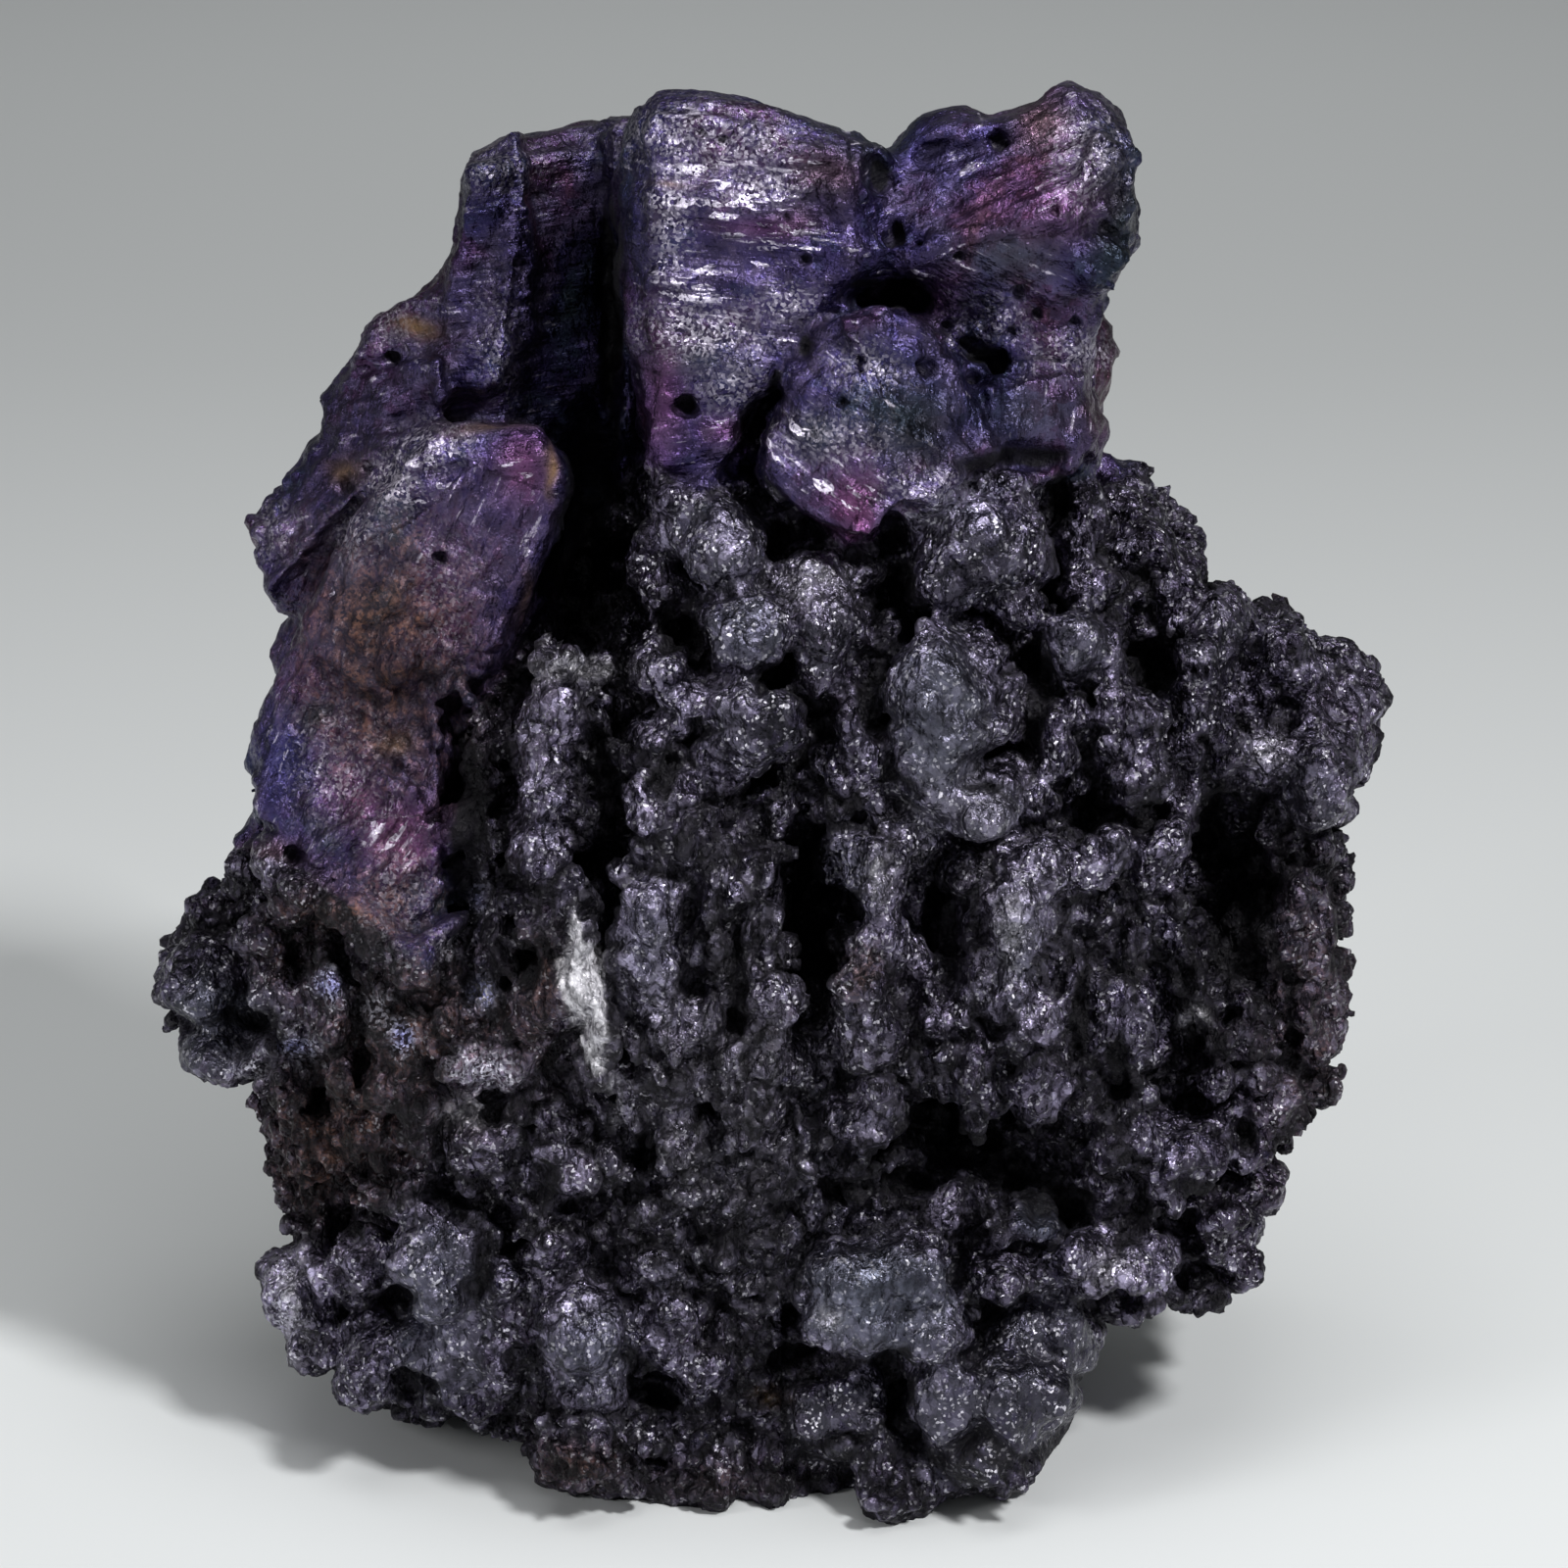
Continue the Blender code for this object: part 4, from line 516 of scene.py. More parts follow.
def scatter_grains(corners, triangles, draw):
    """Closed angular grains that stand in the crust: one array of corners and one of triangles."""
    place, out, size = grain_places(corners, triangles, draw)
    count = len(place)
    stretch = draw.uniform(0.7, 1.3, (count, 3))
    stretch[:, 2] *= np.where(np.abs(place[:, 2] - 17.0) < 7.0, 1.35, 1.0)
    turns = random_turns(draw, count)
    place = place - out * (size * 0.35)[:, None]
    shapes = grain_shapes(draw)
    kind = draw.integers(len(shapes), size=count)
    all_corners, all_triangles, first = [], [], 0
    for k, (shape, faces) in enumerate(shapes):
        of_kind = kind == k
        rolled = np.einsum("nij,vj->nvi", turns[of_kind], shape) * stretch[of_kind][:, None, :]
        placed = rolled * size[of_kind][:, None, None] + place[of_kind][:, None, :]
        number = len(placed)
        all_corners.append(placed.reshape(-1, 3))
        index = faces[None] + (np.arange(number) * len(shape))[:, None, None] + first
        all_triangles.append(index.reshape(-1, 3))
        first += number * len(shape)
    return np.concatenate(all_corners), np.concatenate(all_triangles)


def remeshed(corners, triangles, voxel):
    """One skin round overlapping closed bodies: its corners and its four-sided faces."""
    thing = bpy.data.objects.new("growing", mesh_of("growing", corners, triangles))
    bpy.context.scene.collection.objects.link(thing)
    remesh = thing.modifiers.new("grow together", "REMESH")
    remesh.mode = "VOXEL"
    remesh.voxel_size = voxel * MM
    bpy.context.view_layer.update()
    mesh = bpy.data.meshes.new_from_object(thing.evaluated_get(bpy.context.evaluated_depsgraph_get()))
    bpy.data.objects.remove(thing)
    new = np.empty(len(mesh.vertices) * 3)
    mesh.vertices.foreach_get("co", new)
    faces = np.empty(len(mesh.loops), np.int32)
    mesh.loops.foreach_get("vertex_index", faces)
    bpy.data.meshes.remove(mesh)
    return new.reshape(-1, 3) / MM, faces.reshape(-1, 4)


def relax(corners, faces, rounds, field=None):
    """Averages the corners, or a field over them, with their neighbours."""
    pairs = np.concatenate([faces[:, [k, (k + 1) % faces.shape[1]]] for k in range(faces.shape[1])])
    one, other = pairs[:, 0], pairs[:, 1]
    value = corners.copy() if field is None else field[:, None].copy()
    number = np.bincount(one, minlength=len(corners)) + np.bincount(other, minlength=len(corners))
    for _ in range(rounds):
        total = np.zeros_like(value)
        for axis in range(value.shape[1]):
            total[:, axis] += np.bincount(one, value[other, axis], len(corners))
            total[:, axis] += np.bincount(other, value[one, axis], len(corners))
        value = 0.5 * value + 0.5 * total / np.maximum(number, 1)[:, None]
    return value if field is None else value[:, 0]


def sunken(corners, faces, normals, rounds):
    """How far each corner lies below its neighbours, over more of them the more rounds."""
    return np.einsum("ij,ij->i", relax(corners, faces, rounds) - corners, normals)


def gap_share(corners, across, up):
    """How far into a dark gap each place lies, from 0 to 1, and how deep that gap is."""
    share, depth = np.zeros(len(across)), np.zeros(len(across))
    ragged = 0.3 * rough_noise(corners, 0.8, 31, 2)
    bend = 0.75 - 0.45 * smooth_step(34.0, 37.0, up)
    across = across + bend * rough_noise(corners, 2.3, 91, 2)
    up = up + 1.2 * bend * rough_noise(corners, 2.3, 95, 2)
    for middle, level, wide, high, deep in GAPS:
        away = np.hypot((across - middle) / (wide + 0.15), (up - level) / (high + 0.15))
        here = 1.0 - smooth_step(0.6, 1.05, away + ragged)
        share = np.maximum(share, here)
        depth = np.maximum(depth, here * deep)
    return share, depth


def line_angle(across, up):
    """The angle of the striations at each place, in radians."""
    nearest, angle = np.full(len(across), 1e9), np.zeros(len(across))
    for middle, level, wide, high, degrees in GRAIN_LINES:
        away = np.hypot((across - middle) / wide, (up - level) / high)
        closer = away < nearest
        nearest[closer] = away[closer]
        angle[closer] = math.radians(degrees)
    return angle


def along_lines(corners, across, up):
    """Places with the striations turned level: along them, across them and in depth."""
    angle = line_angle(across, up)
    c, s = np.cos(angle), np.sin(angle)
    return np.stack([across * c + up * s, up * c - across * s, corners[:, 1]], 1)


def deepened(corners, triangles):
    """The rough body with its creases pushed in, so that lumps and ribs stand apart."""
    normals = normals_of(corners, triangles)
    low = np.clip(sunken(corners, triangles, normals, 9), 0.0, 0.8) * smooth_step(0.3, 1.5, corners[:, 2])
    return corners - normals * (1.2 * low)[:, None]


def blocks(corners, across, up):
    """Angular blocks of the crust, long ones in the columns: depth in each one, and the partings."""
    bent = corners + 0.5 * np.stack([value_noise(corners, 2.5, 33 + k) for k in range(3)], 1)
    first, second = angular(bent, BLOCK_SIZE, 35)
    column = smooth_step(11.0, 15.0, up) * smooth_step(29.0, 25.0, up) * smooth_step(19.0, 14.0, across)
    long_first, long_second = angular(bent * np.array([1.25, 1.25, 0.42]), BLOCK_SIZE, 37)
    gap = second - first
    gap = gap + (long_second - long_first - gap) * column
    return first + (long_first - first) * column, smooth_step(0.26, 0.04, gap)


def lump_relief(corners, across, up):
    """The named lumps: height, distance from the nearest in shares of its size, and its lightness."""
    draw = np.random.default_rng(LUMP_SEED)
    across, up = wandered(corners, across, up, 0.16, 0.9, 111)
    height = np.full(len(across), -LUMP_GROUND)
    nearest, light = np.full(len(across), 9.0), np.full(len(across), 0.3)
    for middle, level, wide, high, lightness in LUMPS:
        one, other = (across - middle) / (wide + LUMP_MARGIN), (up - level) / (high + LUMP_MARGIN)
        close = np.nonzero((np.abs(one) < 1.6) & (np.abs(other) < 1.6))[0]
        one, other = one[close], other[close]
        distance = np.zeros(len(close))
        turns = (np.arange(6) + draw.uniform(-0.35, 0.35, 6)) * math.pi / 3.0
        for turn, reach in zip(turns, draw.uniform(0.88, 1.15, 6)):
            distance = np.maximum(distance, (one * math.cos(turn) + other * math.sin(turn)) / reach)
        lean = draw.uniform(-0.50, 0.50, 2)
        top = min(0.60 * min(wide, high), 0.60)
        rise = top * np.minimum(0.36 + lean[0] * one + lean[1] * other, 1.9 * (1.0 - distance))
        rise -= LUMP_GROUND * smooth_step(0.98, 1.2, distance)
        height[close] = np.maximum(height[close], rise)
        closer = distance < nearest[close]
        chosen = close[closer]
        nearest[chosen] = distance[closer]
        light[chosen] = lightness
    return height, nearest, light


def flattened(corners, normals):
    """How far ahead each place moves to lie in the flat face it belongs to."""
    across, up, reach = seen(corners)
    bent_across, bent_up = wandered(corners, across, up, 0.12, 0.8, 131)
    facing = normals @ AHEAD < -0.1
    shift = np.zeros(len(corners))
    for outline in FLAT_FACES:
        chosen = inside(outline, bent_across, bent_up) & facing
        if chosen.sum() < 20:
            continue
        place = np.stack([across, up, np.ones(len(across))], 1)[chosen]
        depth = reach[chosen]
        slope = np.linalg.lstsq(place, depth, rcond=None)[0]
        near = depth < place @ slope + 0.1
        slope = np.linalg.lstsq(place[near], depth[near], rcond=None)[0]
        shift[chosen] = np.clip(0.85 * (place @ slope - depth), -1.6, 0.4)
    return shift


def rims(corners, across, up):
    """Height of the rolled rims and thin ribs."""
    across, up = wandered(corners, across, up, 0.25, 1.1, 101)
    height = np.zeros(len(across))
    for half, high, path in RIMS:
        for (x0, z0), (x1, z1) in zip(path, path[1:]):
            long = math.hypot(x1 - x0, z1 - z0)
            t = np.clip(((across - x0) * (x1 - x0) + (up - z0) * (z1 - z0)) / long ** 2, 0.0, 1.0)
            away = np.hypot(across - x0 - t * (x1 - x0), up - z0 - t * (z1 - z0)) / half
            height = np.maximum(height, high * np.sqrt(np.clip(1.0 - away ** 2, 0.0, 1.0)))
    return height


def shaped(corners, faces):
    """Blocks, gaps and ledges: everything of about a millimetre."""
    normals = normals_of(corners, faces)
    corners = corners + AHEAD * flattened(corners, normals)[:, None]
    normals = normals_of(corners, faces)
    across, up, _ = seen(corners)
    smooth = relax(corners, faces, 2, smooth_share(corners))
    crust = 1.0 - smooth
    depth, parting = blocks(corners, across, up)
    rough = BLOCK_RELIEF * BLOCK_SIZE * (0.40 - depth) - 0.6 * parting
    rise, nearest, _ = lump_relief(corners, across, up)
    on_front = smooth_step(*FRONT_EDGE, corners[:, 1])
    named = smooth_step(*NAMED_EDGE, nearest) * on_front
    height = crust * (rough + (rise + 0.18 * rough - rough) * named)
    height += (1.0 - crust) * (up < 35.0) * named * 0.7 * rise
    broad, _ = angular(corners, 3.6, 39)
    height += crust * (1.0 - on_front) * 1.2 * (0.45 - broad)
    lines = along_lines(corners, across, up)
    ledge = rough_noise(lines * np.array([0.30, 1.0, 0.5]), 1.4, 43, 3) * 5.0
    ledge = np.floor(ledge) + smooth_step(0.62, 1.0, ledge - np.floor(ledge))
    height += smooth * (up > STRIATED_FROM) * 0.085 * ledge
    block, _ = angular(corners, 2.4, 47)
    height += smooth * 0.20 * (0.45 - block)
    low_edge = smooth_step(0.4, 1.6, corners[:, 2])
    moved = corners + normals * (np.clip(height, -1.3, 0.35) * low_edge)[:, None]
    moved = moved + normals * (rims(corners, across, up) * (normals @ AHEAD < -0.1))[:, None]
    _, depth = gap_share(corners, across, up)
    facing = smooth_step(0.25, -0.25, normals @ AHEAD) * (corners[:, 1] < FRONT_EDGE[0]) * low_edge
    return moved + AHEAD * (depth * facing)[:, None]


def carve(corners, faces):
    """Facets, striations and pits: everything smaller than a millimetre."""
    normals = normals_of(corners, faces)
    across, up, _ = seen(corners)
    smooth = relax(corners, faces, 3, smooth_share(corners))
    crust = 1.0 - smooth
    coarse, _ = angular(corners, 0.85, 3)
    fine, _ = angular(corners, 0.42, 23)
    height = crust * (0.34 * (0.40 - coarse) + 0.12 * (0.40 - fine))
    height += smooth * (0.16 * (up < 34.0) + 0.05) * (0.40 - coarse)
    height -= crust * 0.22 * smooth_step(0.10, 0.55, rough_noise(corners, 1.5, 41, 3))
    upright = corners * np.array([1.0, 1.0, 0.6])
    height += crust * 0.20 * (0.45 - 2.2 * np.abs(rough_noise(upright, 1.1, 141, 3)))
    height += crust * 0.12 * (2.2 * np.abs(rough_noise(upright, 0.6, 145, 2)) - 0.45)
    height += smooth * 0.04 * rough_noise(corners, 0.5, 51, 2)
    lines = along_lines(corners, across, up)
    striae = rough_noise(lines * np.array([0.13, 1.0, 0.35]), 0.50, 71, 3)
    step = rough_noise(lines * np.array([0.22, 1.0, 0.4]), 1.0, 75, 2) * 4.0
    step = np.floor(step) + smooth_step(0.5, 0.9, step - np.floor(step))
    height += smooth * (up > STRIATED_FROM) * (0.085 * striae + 0.045 * step)
    facing = normals @ AHEAD < -0.15
    ragged = 0.5 * rough_noise(corners, 0.45, 121, 2)
    for middle, level, half in PITS:
        away = np.hypot(across - middle, up - level) / half + ragged
        height -= facing * 1.7 * half * (1.0 - smooth_step(0.6, 1.15, away))
    moved = corners + normals * height[:, None]
    moved[:, 2] = np.where(corners[:, 2] < 0.12, 0.0, np.maximum(moved[:, 2], 0.0))
    return moved


def cavity_of(corners, faces, normals):
    """How far each corner lies below its surroundings, from 0 to 1."""
    depth, near = (sunken(corners, faces, normals, rounds) for rounds in (60, 8))
    return np.clip(depth / 0.45, -0.3, 1.0) * 0.7 + np.clip(near / 0.12, -0.3, 1.0) * 0.3


def blob(across, up, places):
    """Soft spots: each place gives across, up, half width, half height and strength."""
    total = np.zeros(len(across))
    for middle, level, wide, high, strength in places:
        away = ((across - middle) / wide) ** 2 + ((up - level) / high) ** 2
        total = np.maximum(total, strength * np.exp(-away))
    return total


def paint(corners, faces):
    """Fields over the corners that the material reads."""
    across, up, _ = seen(corners)
    normals = normals_of(corners, faces)
    wander = rough_noise(corners, 4.0, 81, 3)
    small = rough_noise(corners, 1.2, 85, 3)
    moved_across, moved_up = across + 0.5 * small, up + 0.5 * wander
    crystal = inside(CRYSTAL_ZONE, across + 0.4 * small, up + 0.4 * wander).astype(float)
    shade, _ = gap_share(corners, across, up)
    _, parting = blocks(corners, across, up)
    _, nearest, light = lump_relief(corners, across, up)
    on_front = smooth_step(*FRONT_EDGE, corners[:, 1])
    named = smooth_step(*NAMED_EDGE, nearest) * on_front
    parting = parting + (smooth_step(0.96, 1.10, nearest) - parting) * named
    kept = np.maximum(crystal, on_front)
    fields = {name: kept * blob(moved_across, moved_up, places) for name, places in SPOTS.items()}
    blade = inside(BLADE, across + 0.2 * small, up + 0.2 * small) * on_front
    # The blade is painted as bare silver, near white: a painted highlight.
    fields["silver"] = np.maximum(fields["silver"], relax(corners, faces, 1, blade))
    stain = smooth_step(0.15, 0.5, rough_noise(corners, 7.0, 65, 2)) * (1.0 - kept)
    fields["brown"] = np.maximum(fields["brown"], 0.6 * stain)
    fields["tarnish"] = relax(corners, faces, 4, crystal)
    fields["smooth"] = smooth_share(corners)
    # Painted shade: the material paints hollows, gaps and the partings between blocks near black by these
    # two fields.
    fields["cavity"] = cavity_of(corners, faces, normals)
    fields["shade"] = np.maximum(shade * (corners[:, 1] < FRONT_EDGE[0]), 0.9 * parting * (1.0 - crystal))
    # Lightness, taken on the front from the named lumps, which is partly painted light.
    unnamed = 0.3 + 0.35 * value_noise(corners, 3.0, 61) * (1.0 - on_front)
    fields["light"] = relax(corners, faces, 3, unnamed + (light - unnamed) * named)
    fields = {name: np.clip(value, 0.0, 1.0) for name, value in fields.items()}
    fields["lie"] = line_angle(across, up)
    return fields


def thinned_back(mesh, corners):
    """Fewer faces on the side away from the front."""
    thing = bpy.data.objects.new("thinning", mesh)
    bpy.context.scene.collection.objects.link(thing)
    away = smooth_step(1.0, 3.0, corners[:, 1])
    group = thing.vertex_groups.new(name="back")
    for level in (0.25, 0.5, 0.75, 1.0):
        group.add(np.nonzero(away >= level)[0].tolist(), level, "REPLACE")
    thin = thing.modifiers.new("fewer faces", "DECIMATE")
    thin.vertex_group = "back"
    thin.ratio = 1.0 - (1.0 - BACK_SHARE) * float((away > 0.5).mean())
    bpy.context.view_layer.update()
    made = bpy.data.meshes.new_from_object(thing.evaluated_get(bpy.context.evaluated_depsgraph_get()))
    bpy.data.objects.remove(thing)
    return mesh_arrays(made)


def add_piece(name, corners, triangles, fields, material):
    """One piece of the skin, with its fields as attributes."""
    used, index = np.unique(triangles, return_inverse=True)
    mesh = mesh_of(name, corners[used], index.reshape(triangles.shape))
    mesh.validate()
    for field, value in fields.items():
        attribute = mesh.attributes.new(field, "FLOAT", "POINT")
        attribute.data.foreach_set("value", value[used].astype(np.float32))
    mesh.polygons.foreach_set("use_smooth", np.ones(len(mesh.polygons), bool))
    mesh.materials.append(material)
    thing = bpy.data.objects.new(name, mesh)
    bpy.context.scene.collection.objects.link(thing)
    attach(thing, "root")
    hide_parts(NODE)
    return thing


class Value:
    """A number in a node tree, which adds, subtracts and multiplies like any other."""

    def __init__(self, nodes, socket):
        self.nodes = nodes
        self.socket = socket

    def __add__(self, other):
        return self.nodes.math("ADD", self, other)

    def __sub__(self, other):
        return self.nodes.math("SUBTRACT", self, other)

    def __rsub__(self, other):
        return self.nodes.math("SUBTRACT", other, self)

    def __mul__(self, other):
        return self.nodes.math("MULTIPLY", self, other)

    def __pow__(self, other):
        return self.nodes.math("POWER", self, other)

    def clamped(self):
        """The same, kept from 0 to 1."""
        self.socket.node.use_clamp = True
        return self


class Nodes:
    """Builds a material's nodes in a few words."""

    def __init__(self, name):
        self.material = bpy.data.materials.new(name)
        self.material.use_nodes = True
        self.tree = self.material.node_tree
        self.shader = self.tree.nodes["Principled BSDF"]

    def add(self, kind, settings=None, first=(), **inputs):
        """A node with its settings, its first inputs in order and others by name."""
        node = self.tree.nodes.new("ShaderNode" + kind)
        for key, value in (settings or {}).items():
            setattr(node, key, value)
        for socket, value in zip(node.inputs, first):
            self.put(socket, value)
        for key, value in inputs.items():
            self.put(node.inputs[key], value)
        return node

    def put(self, socket, value):
        if isinstance(value, Value):
            value = value.socket
        if isinstance(value, bpy.types.NodeSocket):
            self.tree.links.new(value, socket)
        else:
            socket.default_value = value

    def math(self, operation, *values):
        return Value(self, self.add("Math", {"operation": operation}, values).outputs[0])

    def larger(self, one, two):
        return self.math("MAXIMUM", one, two)

    def vector(self, operation, *values):
        return self.add("VectorMath", {"operation": operation}, values).outputs[0]

    def scaled(self, value, share):
        return self.add("VectorMath", {"operation": "SCALE"}, (value,), Scale=share).outputs[0]

    def mix(self, share, one, two):
        node = self.add("Mix", {"data_type": "RGBA"}, (share,))
        self.put(node.inputs[6], one)
        self.put(node.inputs[7], two)
        return node.outputs[2]

    def field(self, name):
        return Value(self, self.add("Attribute", {"attribute_name": name}).outputs["Fac"])

    def ramp(self, share, stops):
        node = self.add("ValToRGB", first=(share,))
        elements = node.color_ramp.elements
        while len(elements) < len(stops):
            elements.new(0.5)
        for element, (place, colour) in zip(elements, stops):
            element.position = place
            element.color = (*colour, 1.0)
        return node.outputs[0]

    def noise(self, where, scale, detail, distortion=0.0):
        return self.add("TexNoise", Vector=where, Scale=scale, Detail=detail, Distortion=distortion)

    def fog(self, *how):
        """The grey of a noise."""
        return Value(self, self.noise(*how).outputs["Fac"])

    def cells(self, where, scale):
        """The random colours of cells."""
        return self.add("TexVoronoi", Vector=where, Scale=scale).outputs["Color"]

    def parts(self, colour):
        return [Value(self, socket) for socket in self.add("SeparateColor", first=(colour,)).outputs]


def patterns(n):
    """The noises and cells that the colours and the relief share, by name."""
    place = n.scaled(n.add("TexCoord").outputs["Object"], 1.0 / MM)
    drift = n.vector("SUBTRACT", n.noise(place, 1.3, 2.0).outputs["Color"], HALF)
    bent = n.vector("ADD", place, n.scaled(drift, 0.3))
    turned = n.add("VectorRotate", {"rotation_type": "Y_AXIS"}, Vector=place, Angle=n.field("lie"))
    turned = turned.outputs[0]
    swerve = n.vector("ADD", turned, n.scaled(drift, 0.5))
    small, fine = n.cells(bent, 3.0), n.cells(bent, 10.0)
    dashes = n.cells(n.vector("MULTIPLY", swerve, (1.0, 2.2, 4.6)), 1.0)
    ragged = n.fog(n.vector("MULTIPLY", place, (1.0, 1.0, 0.6)), 1.5, 4.0)
    return SimpleNamespace(
        patch=n.fog(place, 0.22, 4.0, 0.6), speckle=n.fog(place, 1.1, 4.0), grit=n.fog(place, 12.0, 2.0),
        small=small, fine=fine, dashes=dashes,
        chance=n.parts(small), luck=n.parts(fine), dash=n.parts(dashes)[0],
        streaks=n.fog(n.vector("MULTIPLY", turned, (0.55, 1.6, 5.0)), 1.0, 4.0),
        crease=(n.math("ABSOLUTE", ragged - 0.5) * 11.0).clamped(),
        **{name: n.field(name) for name in ("tarnish", "smooth", "cavity", "shade", "light")},
        **{name: n.field(name) for name in SPOTS})


def crust_colour(n, p):
    """Dark grey metal of small facets, satin on the smooth lumps, with painted light and shade by lump and
    crease, and painted glints as bright points.
    """
    facets = n.ramp(p.chance[0], [(0.0, (0.044, 0.038, 0.056)), (0.6, (0.096, 0.083, 0.124)),
                                  (1.0, (0.220, 0.198, 0.285))])
    # Painted light and shade: each lump is painted lighter or darker by its lightness, and the creases are
    # painted darker.
    facets = n.scaled(facets, (p.speckle * 2.0 - 0.2) * (p.light * 2.3 + 0.28) * (p.crease + 0.2))
    satin = n.ramp(p.speckle, [(0.3, (0.045, 0.045, 0.057)), (0.7, (0.13, 0.13, 0.165))])
    satin = n.scaled(satin, p.light * 0.75 + 0.28)
    # Painted glints: a few facets are painted near white.
    p.spark = (((p.luck[1] - 0.86) * 10.0).clamped() * (p.speckle * 4.0 - 1.5)).clamped()
    return n.mix(p.spark * 0.95, n.mix(p.smooth * 0.9, facets, satin), (0.92, 0.89, 1.0, 1.0))


def bloom_colour(n, p):
    """The tarnish of the crystals, blue to violet and magenta, with painted glints along the striations."""
    bloom = n.ramp(p.patch * 1.6 + p.chance[1] * 0.16 - 0.42, [
        (0.0, (0.045, 0.070, 0.080)), (0.2, (0.050, 0.060, 0.120)), (0.38, (0.055, 0.042, 0.140)),
        (0.55, (0.110, 0.085, 0.185)), (0.7, (0.090, 0.045, 0.120)), (0.85, (0.120, 0.050, 0.100)),
        (1.0, (0.060, 0.045, 0.060))])
    for spot, tint in ((p.blue, (0.040, 0.040, 0.150, 1.0)), (p.green, (0.040, 0.062, 0.056, 1.0)),
                       (p.magenta, (0.230, 0.076, 0.200, 1.0)), (p.copper, (0.170, 0.090, 0.085, 1.0))):
        bloom = n.mix(spot * 0.85, bloom, tint)
    bloom = n.scaled(bloom, (p.streaks * 0.9 + 0.25) * (p.speckle * 2.2 - 0.1))
    # Painted glints along the striations and in the sparkle places, painted near white.
    shine = ((p.dash * 0.5 + p.streaks * 0.9 + p.silver * 0.36 - 0.96) * 6.0).clamped()
    shine = shine * ((p.luck[1] + p.speckle - 0.62) * 2.2).clamped()
    shine = n.larger(shine, p.sparkle * p.luck[1] ** 2.5)
    p.shine = shine * (1.0 - p.dark * 0.7)
    return n.mix(p.shine * 0.9, bloom, (0.90, 0.83, 1.0, 1.0))


def with_spots(n, p, colour):
    """Slate, bare silver partly painted highlight, earth, painted glints on facets and ochre over the
    colour; creases painted darker, and darker spots, some painted shadow.
    """
    # The creases are painted darker in the slate, the silver and the earth: painted shade.
    slate = n.scaled(n.scaled((0.115, 0.128, 0.175), p.speckle * 2.2 - 0.3), p.crease * 0.6 + 0.45)
    colour = n.mix(p.slate * 0.7, colour, slate)
    # Bare silver painted near white: partly the metal's own colour, partly painted highlight.
    p.bare = (1.0 - p.tarnish) * p.silver
    metal = (p.bare * (p.luck[0] * 0.7 + (p.streaks * 2.6 - 0.75))).clamped() * (p.crease * 0.65 + 0.35)
    colour = n.mix(metal, colour, (0.92, 0.90, 0.96, 1.0))
    p.earthy = (p.brown * (p.speckle * 1.6 - 0.1)).clamped() * (1.0 - p.blue)
    earth = n.mix(p.luck[0] * p.crease, (0.016, 0.008, 0.007, 1.0), (0.230, 0.110, 0.072, 1.0))
    colour = n.mix(p.earthy, colour, earth)
    # Painted glints: facets in the sparkle places are painted white, or blue in the blue spots.
    p.facet = (p.luck[1] * 2.4 - 0.9).clamped() * (p.sparkle * (1.0 - p.tarnish))
    painted_glint_colour = n.mix(p.blue, (0.85, 0.83, 0.96, 1.0), (0.34, 0.36, 0.95, 1.0))
    colour = n.mix(p.facet, colour, painted_glint_colour)
    p.rust = (p.ochre * (p.speckle * 1.5)).clamped()
    colour = n.mix(p.rust, colour, (0.20, 0.115, 0.035, 1.0))
    # Darker spots; some are painted shadow, on the crystal behind the middle one.
    return n.scaled(colour, 1.0 - p.dark * 0.8)


def leaning(n, p):
    """The surface direction, tilted facet by facet, with fine bumps."""
    crystal = (p.tarnish - p.sparkle * 0.7).clamped()
    grainy = 1.0 - n.larger(crystal, p.smooth) * 0.6
    tilt = n.vector("ADD", n.scaled(n.vector("SUBTRACT", p.small, HALF), 0.6),
                    n.scaled(n.vector("SUBTRACT", p.fine, HALF), 0.75))
    slant = n.scaled(n.vector("SUBTRACT", p.dashes, HALF), crystal * (p.silver * 0.6 + 0.25))
    turn = n.vector("ADD", n.scaled(tilt, grainy), slant)
    ahead = n.vector("NORMALIZE", n.vector("ADD", n.add("NewGeometry").outputs["Normal"], turn))
    relief = p.grit * 0.035 + p.streaks * crystal * 0.10 + p.crease * grainy * 0.07
    return n.add("Bump", Height=relief, Normal=ahead, Strength=0.9, Distance=MM).outputs[0]


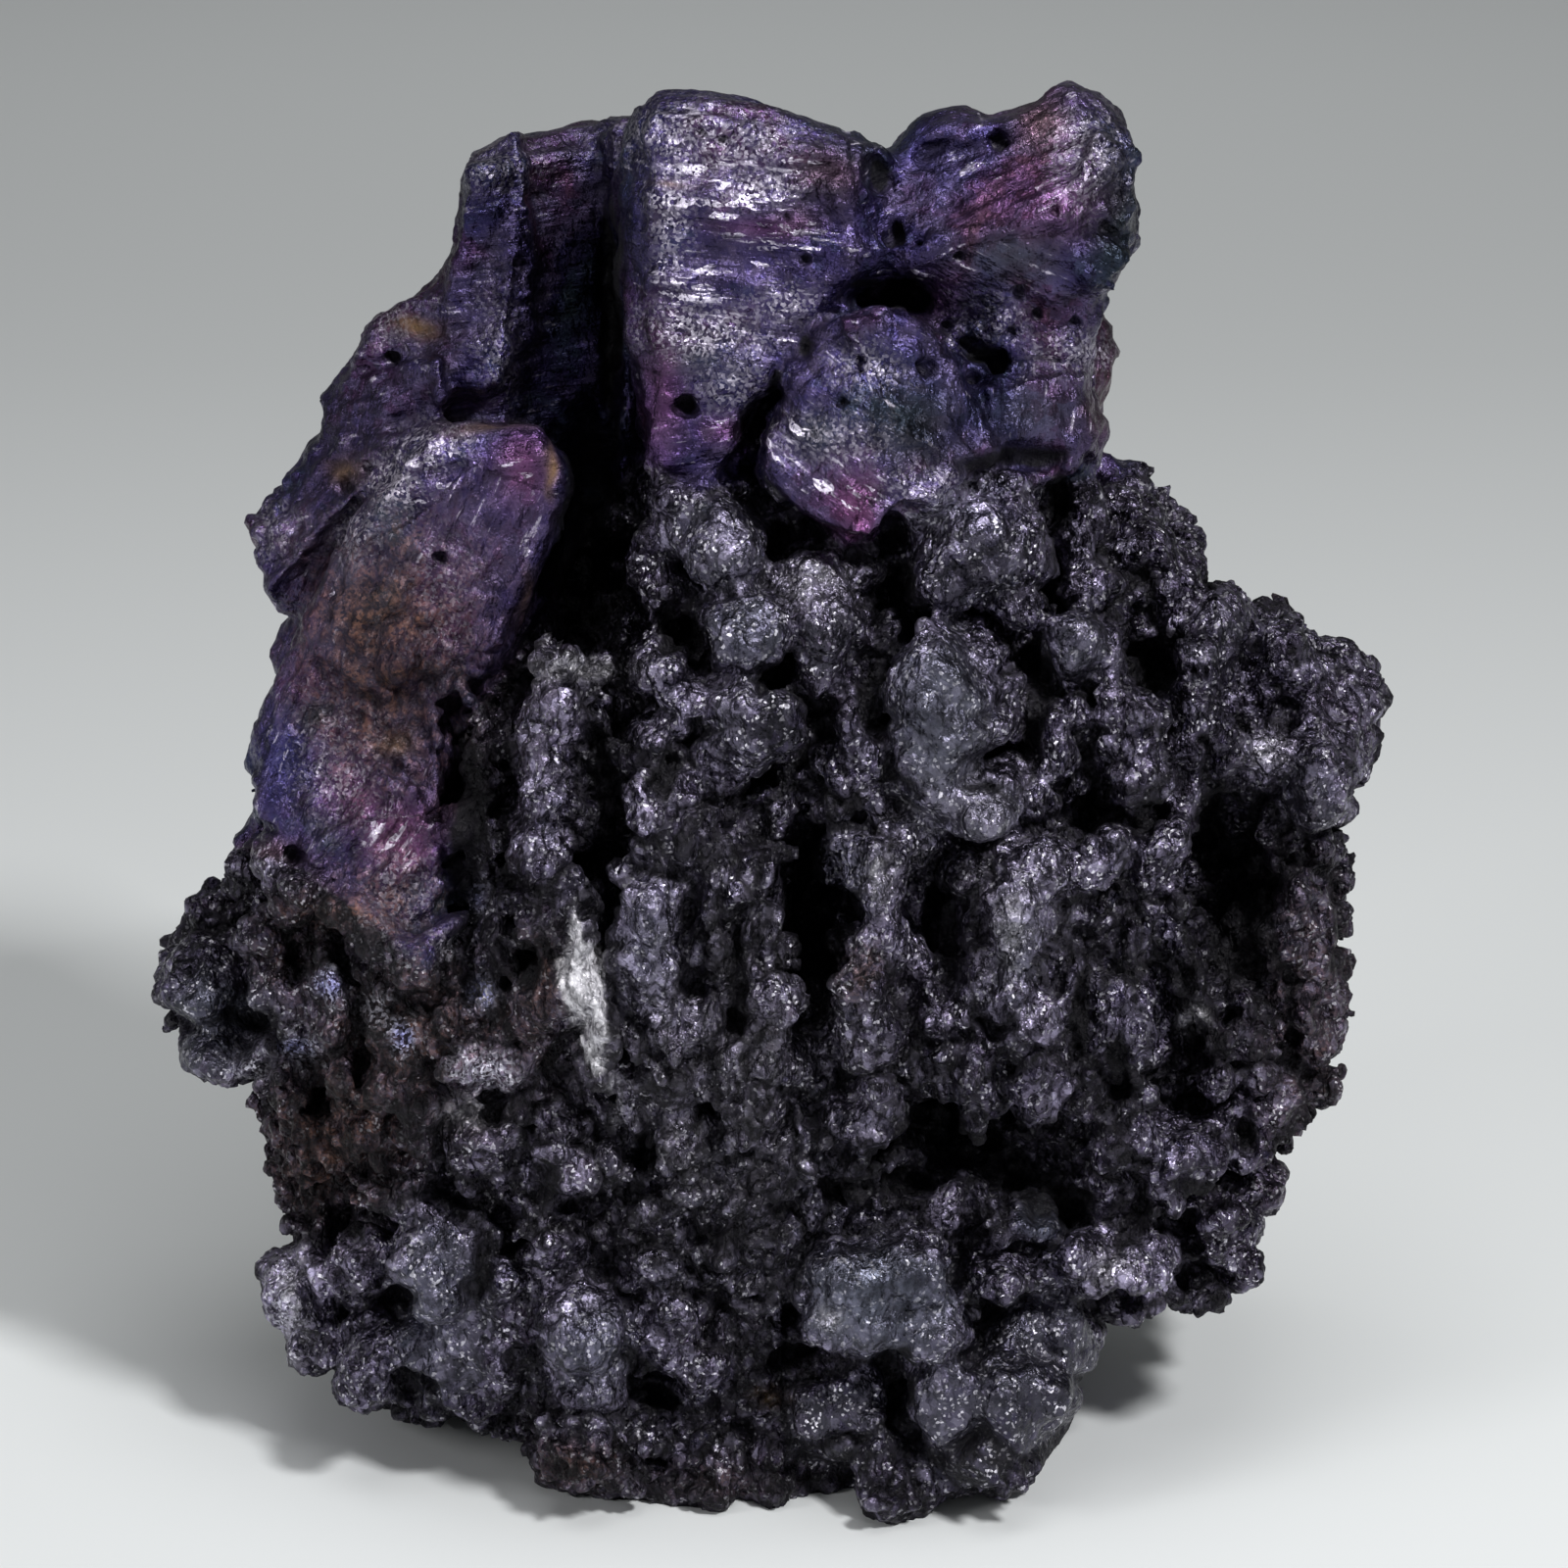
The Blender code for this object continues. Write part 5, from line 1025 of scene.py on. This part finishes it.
def chalcocite():
    """Dark metal with a tarnish of blue, violet and magenta, painted glints on its facets, painted shade in
    its hollows, and earthy spots.
    """
    n = Nodes("tarnished chalcocite")
    p = patterns(n)
    crust, bloom = crust_colour(n, p), bloom_colour(n, p)
    hint = n.larger(p.chance[2] ** 3.0 * 0.25, n.larger(p.blue, p.green) * 0.7)
    colour = with_spots(n, p, n.mix(hint, n.mix(p.tarnish, crust, bloom), bloom))
    # Painted shade: hollows, gaps and partings are painted near black, less on bare silver and painted
    # glints.
    painted_shade = n.larger(p.cavity * 0.9, p.shade * 0.95).clamped()
    painted_shade = painted_shade * (1.0 - p.bare * 0.9) * (1.0 - p.facet * 0.7)
    dull = n.larger(n.larger(p.earthy, p.rust) * 0.7, painted_shade * 0.6)
    # Bare silver and painted glints lose their metal sheen, so that their painted colour shows bright.
    matte_for_painted_light = n.larger(n.larger(p.bare - 0.32, p.spark * 0.45), p.shine * p.tarnish * 0.45)
    inputs = n.shader.inputs
    n.put(inputs["Base Color"], n.mix(painted_shade, colour, (0.004, 0.0035, 0.005, 1.0)))
    n.put(inputs["Metallic"], (0.95 - n.larger(dull, matte_for_painted_light)).clamped())
    n.put(inputs["Roughness"], (p.luck[2] * 0.22 + 0.25 + dull * 0.5).clamped())
    n.put(inputs["Specular IOR Level"], 0.25)
    n.put(inputs["Normal"], leaning(n, p))
    return n.material


def add_pieces(corners, triangles, fields):
    """The skin from the foot up in pieces of a fair size, those of the front and those of the back."""
    middle = corners[triangles].mean(axis=1)
    material = chalcocite()
    order = np.argsort(middle[:, 2], kind="stable")
    back = middle[:, 1] > BACK_FROM
    for side, chosen in (("front", order[~back[order]]), ("back", order[back[order]])):
        parts = math.ceil(len(chosen) / PIECE_LIMIT)
        for number, part in enumerate(np.array_split(chosen, parts)):
            add_piece(f"cluster_{side}_{number + 1}", corners, triangles[part], fields, material)


def make_skin():
    """The whole surface of the cluster: rough blocks first, then grains, then everything smaller."""
    draw = np.random.default_rng(GRAIN_SEED)
    coarser = 1.0
    corners, triangles = mesh_arrays(bpy.data.objects[NODE].data)
    corners, faces = remeshed(deepened(corners, triangles), triangles, BODY_VOXEL * coarser)
    corners = shaped(corners, faces)
    triangles = np.concatenate([faces[:, :3], faces[:, [0, 2, 3]]])
    grain_corners, grain_triangles = scatter_grains(corners, triangles, draw)
    triangles = np.concatenate([triangles, grain_triangles + len(corners)])
    corners = np.concatenate([corners, grain_corners])
    corners, faces = remeshed(corners, triangles, SKIN_VOXEL * coarser)
    corners = carve(corners, faces)
    corners, triangles = thinned_back(mesh_of("skin", corners, faces), corners)
    add_pieces(corners, triangles, paint(corners, triangles))


def add_light(name, place, target, size, power):
    light = bpy.data.lights.new(name, "AREA")
    light.size = size * MM
    light.energy = power
    thing = bpy.data.objects.new(name, light)
    thing.location = Vector(place) * MM
    thing.rotation_euler = (Vector(target) * MM - thing.location).to_track_quat("-Z", "Y").to_euler()
    bpy.context.scene.collection.objects.link(thing)


def add_floor():
    """A pale floor, which is stage and no part of the object."""
    corners = FLOOR_REACH * np.array([[-1, -1, 0], [1, -1, 0], [1, 1, 0], [-1, 1, 0]])
    floor = bpy.data.objects.new("floor", mesh_of("floor", corners, np.array([[0, 1, 2, 3]])))
    bpy.context.scene.collection.objects.link(floor)
    n = Nodes("pale floor")
    n.put(n.shader.inputs["Base Color"], (0.76, 0.78, 0.785, 1.0))
    n.put(n.shader.inputs["Roughness"], 0.6)
    floor.data.materials.append(n.material)


def add_camera():
    camera = bpy.data.cameras.new("camera")
    camera.sensor_width = SENSOR_WIDTH
    camera.lens = SENSOR_WIDTH * VIEW_DISTANCE / PICTURE_WIDTH
    camera.clip_start = 0.01
    thing = bpy.data.objects.new("camera", camera)
    thing.location = Vector(EYE) * MM
    thing.rotation_euler = Vector(AHEAD).to_track_quat("-Z", "Y").to_euler()
    bpy.context.scene.collection.objects.link(thing)
    bpy.context.scene.camera = thing


def make_studio():
    """The floor, soft light from a few lamps, and the camera."""
    add_floor()
    world = bpy.data.worlds.new("studio")
    world.use_nodes = True
    world.node_tree.nodes["Background"].inputs["Color"].default_value = (0.62, 0.64, 0.64, 1.0)
    world.node_tree.nodes["Background"].inputs["Strength"].default_value = 0.25
    bpy.context.scene.world = world
    for lamp in LAMPS:
        add_light(*lamp)
    add_camera()
    bpy.context.scene.view_settings.view_transform = "Standard"


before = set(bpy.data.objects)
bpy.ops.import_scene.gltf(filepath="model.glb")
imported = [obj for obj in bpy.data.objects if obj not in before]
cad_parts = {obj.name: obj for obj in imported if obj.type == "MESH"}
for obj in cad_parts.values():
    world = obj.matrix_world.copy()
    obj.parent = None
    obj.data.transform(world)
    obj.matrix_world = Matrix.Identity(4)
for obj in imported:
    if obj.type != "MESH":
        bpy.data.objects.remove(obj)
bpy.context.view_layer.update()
make_skin()
make_studio()
bpy.context.view_layer.update()
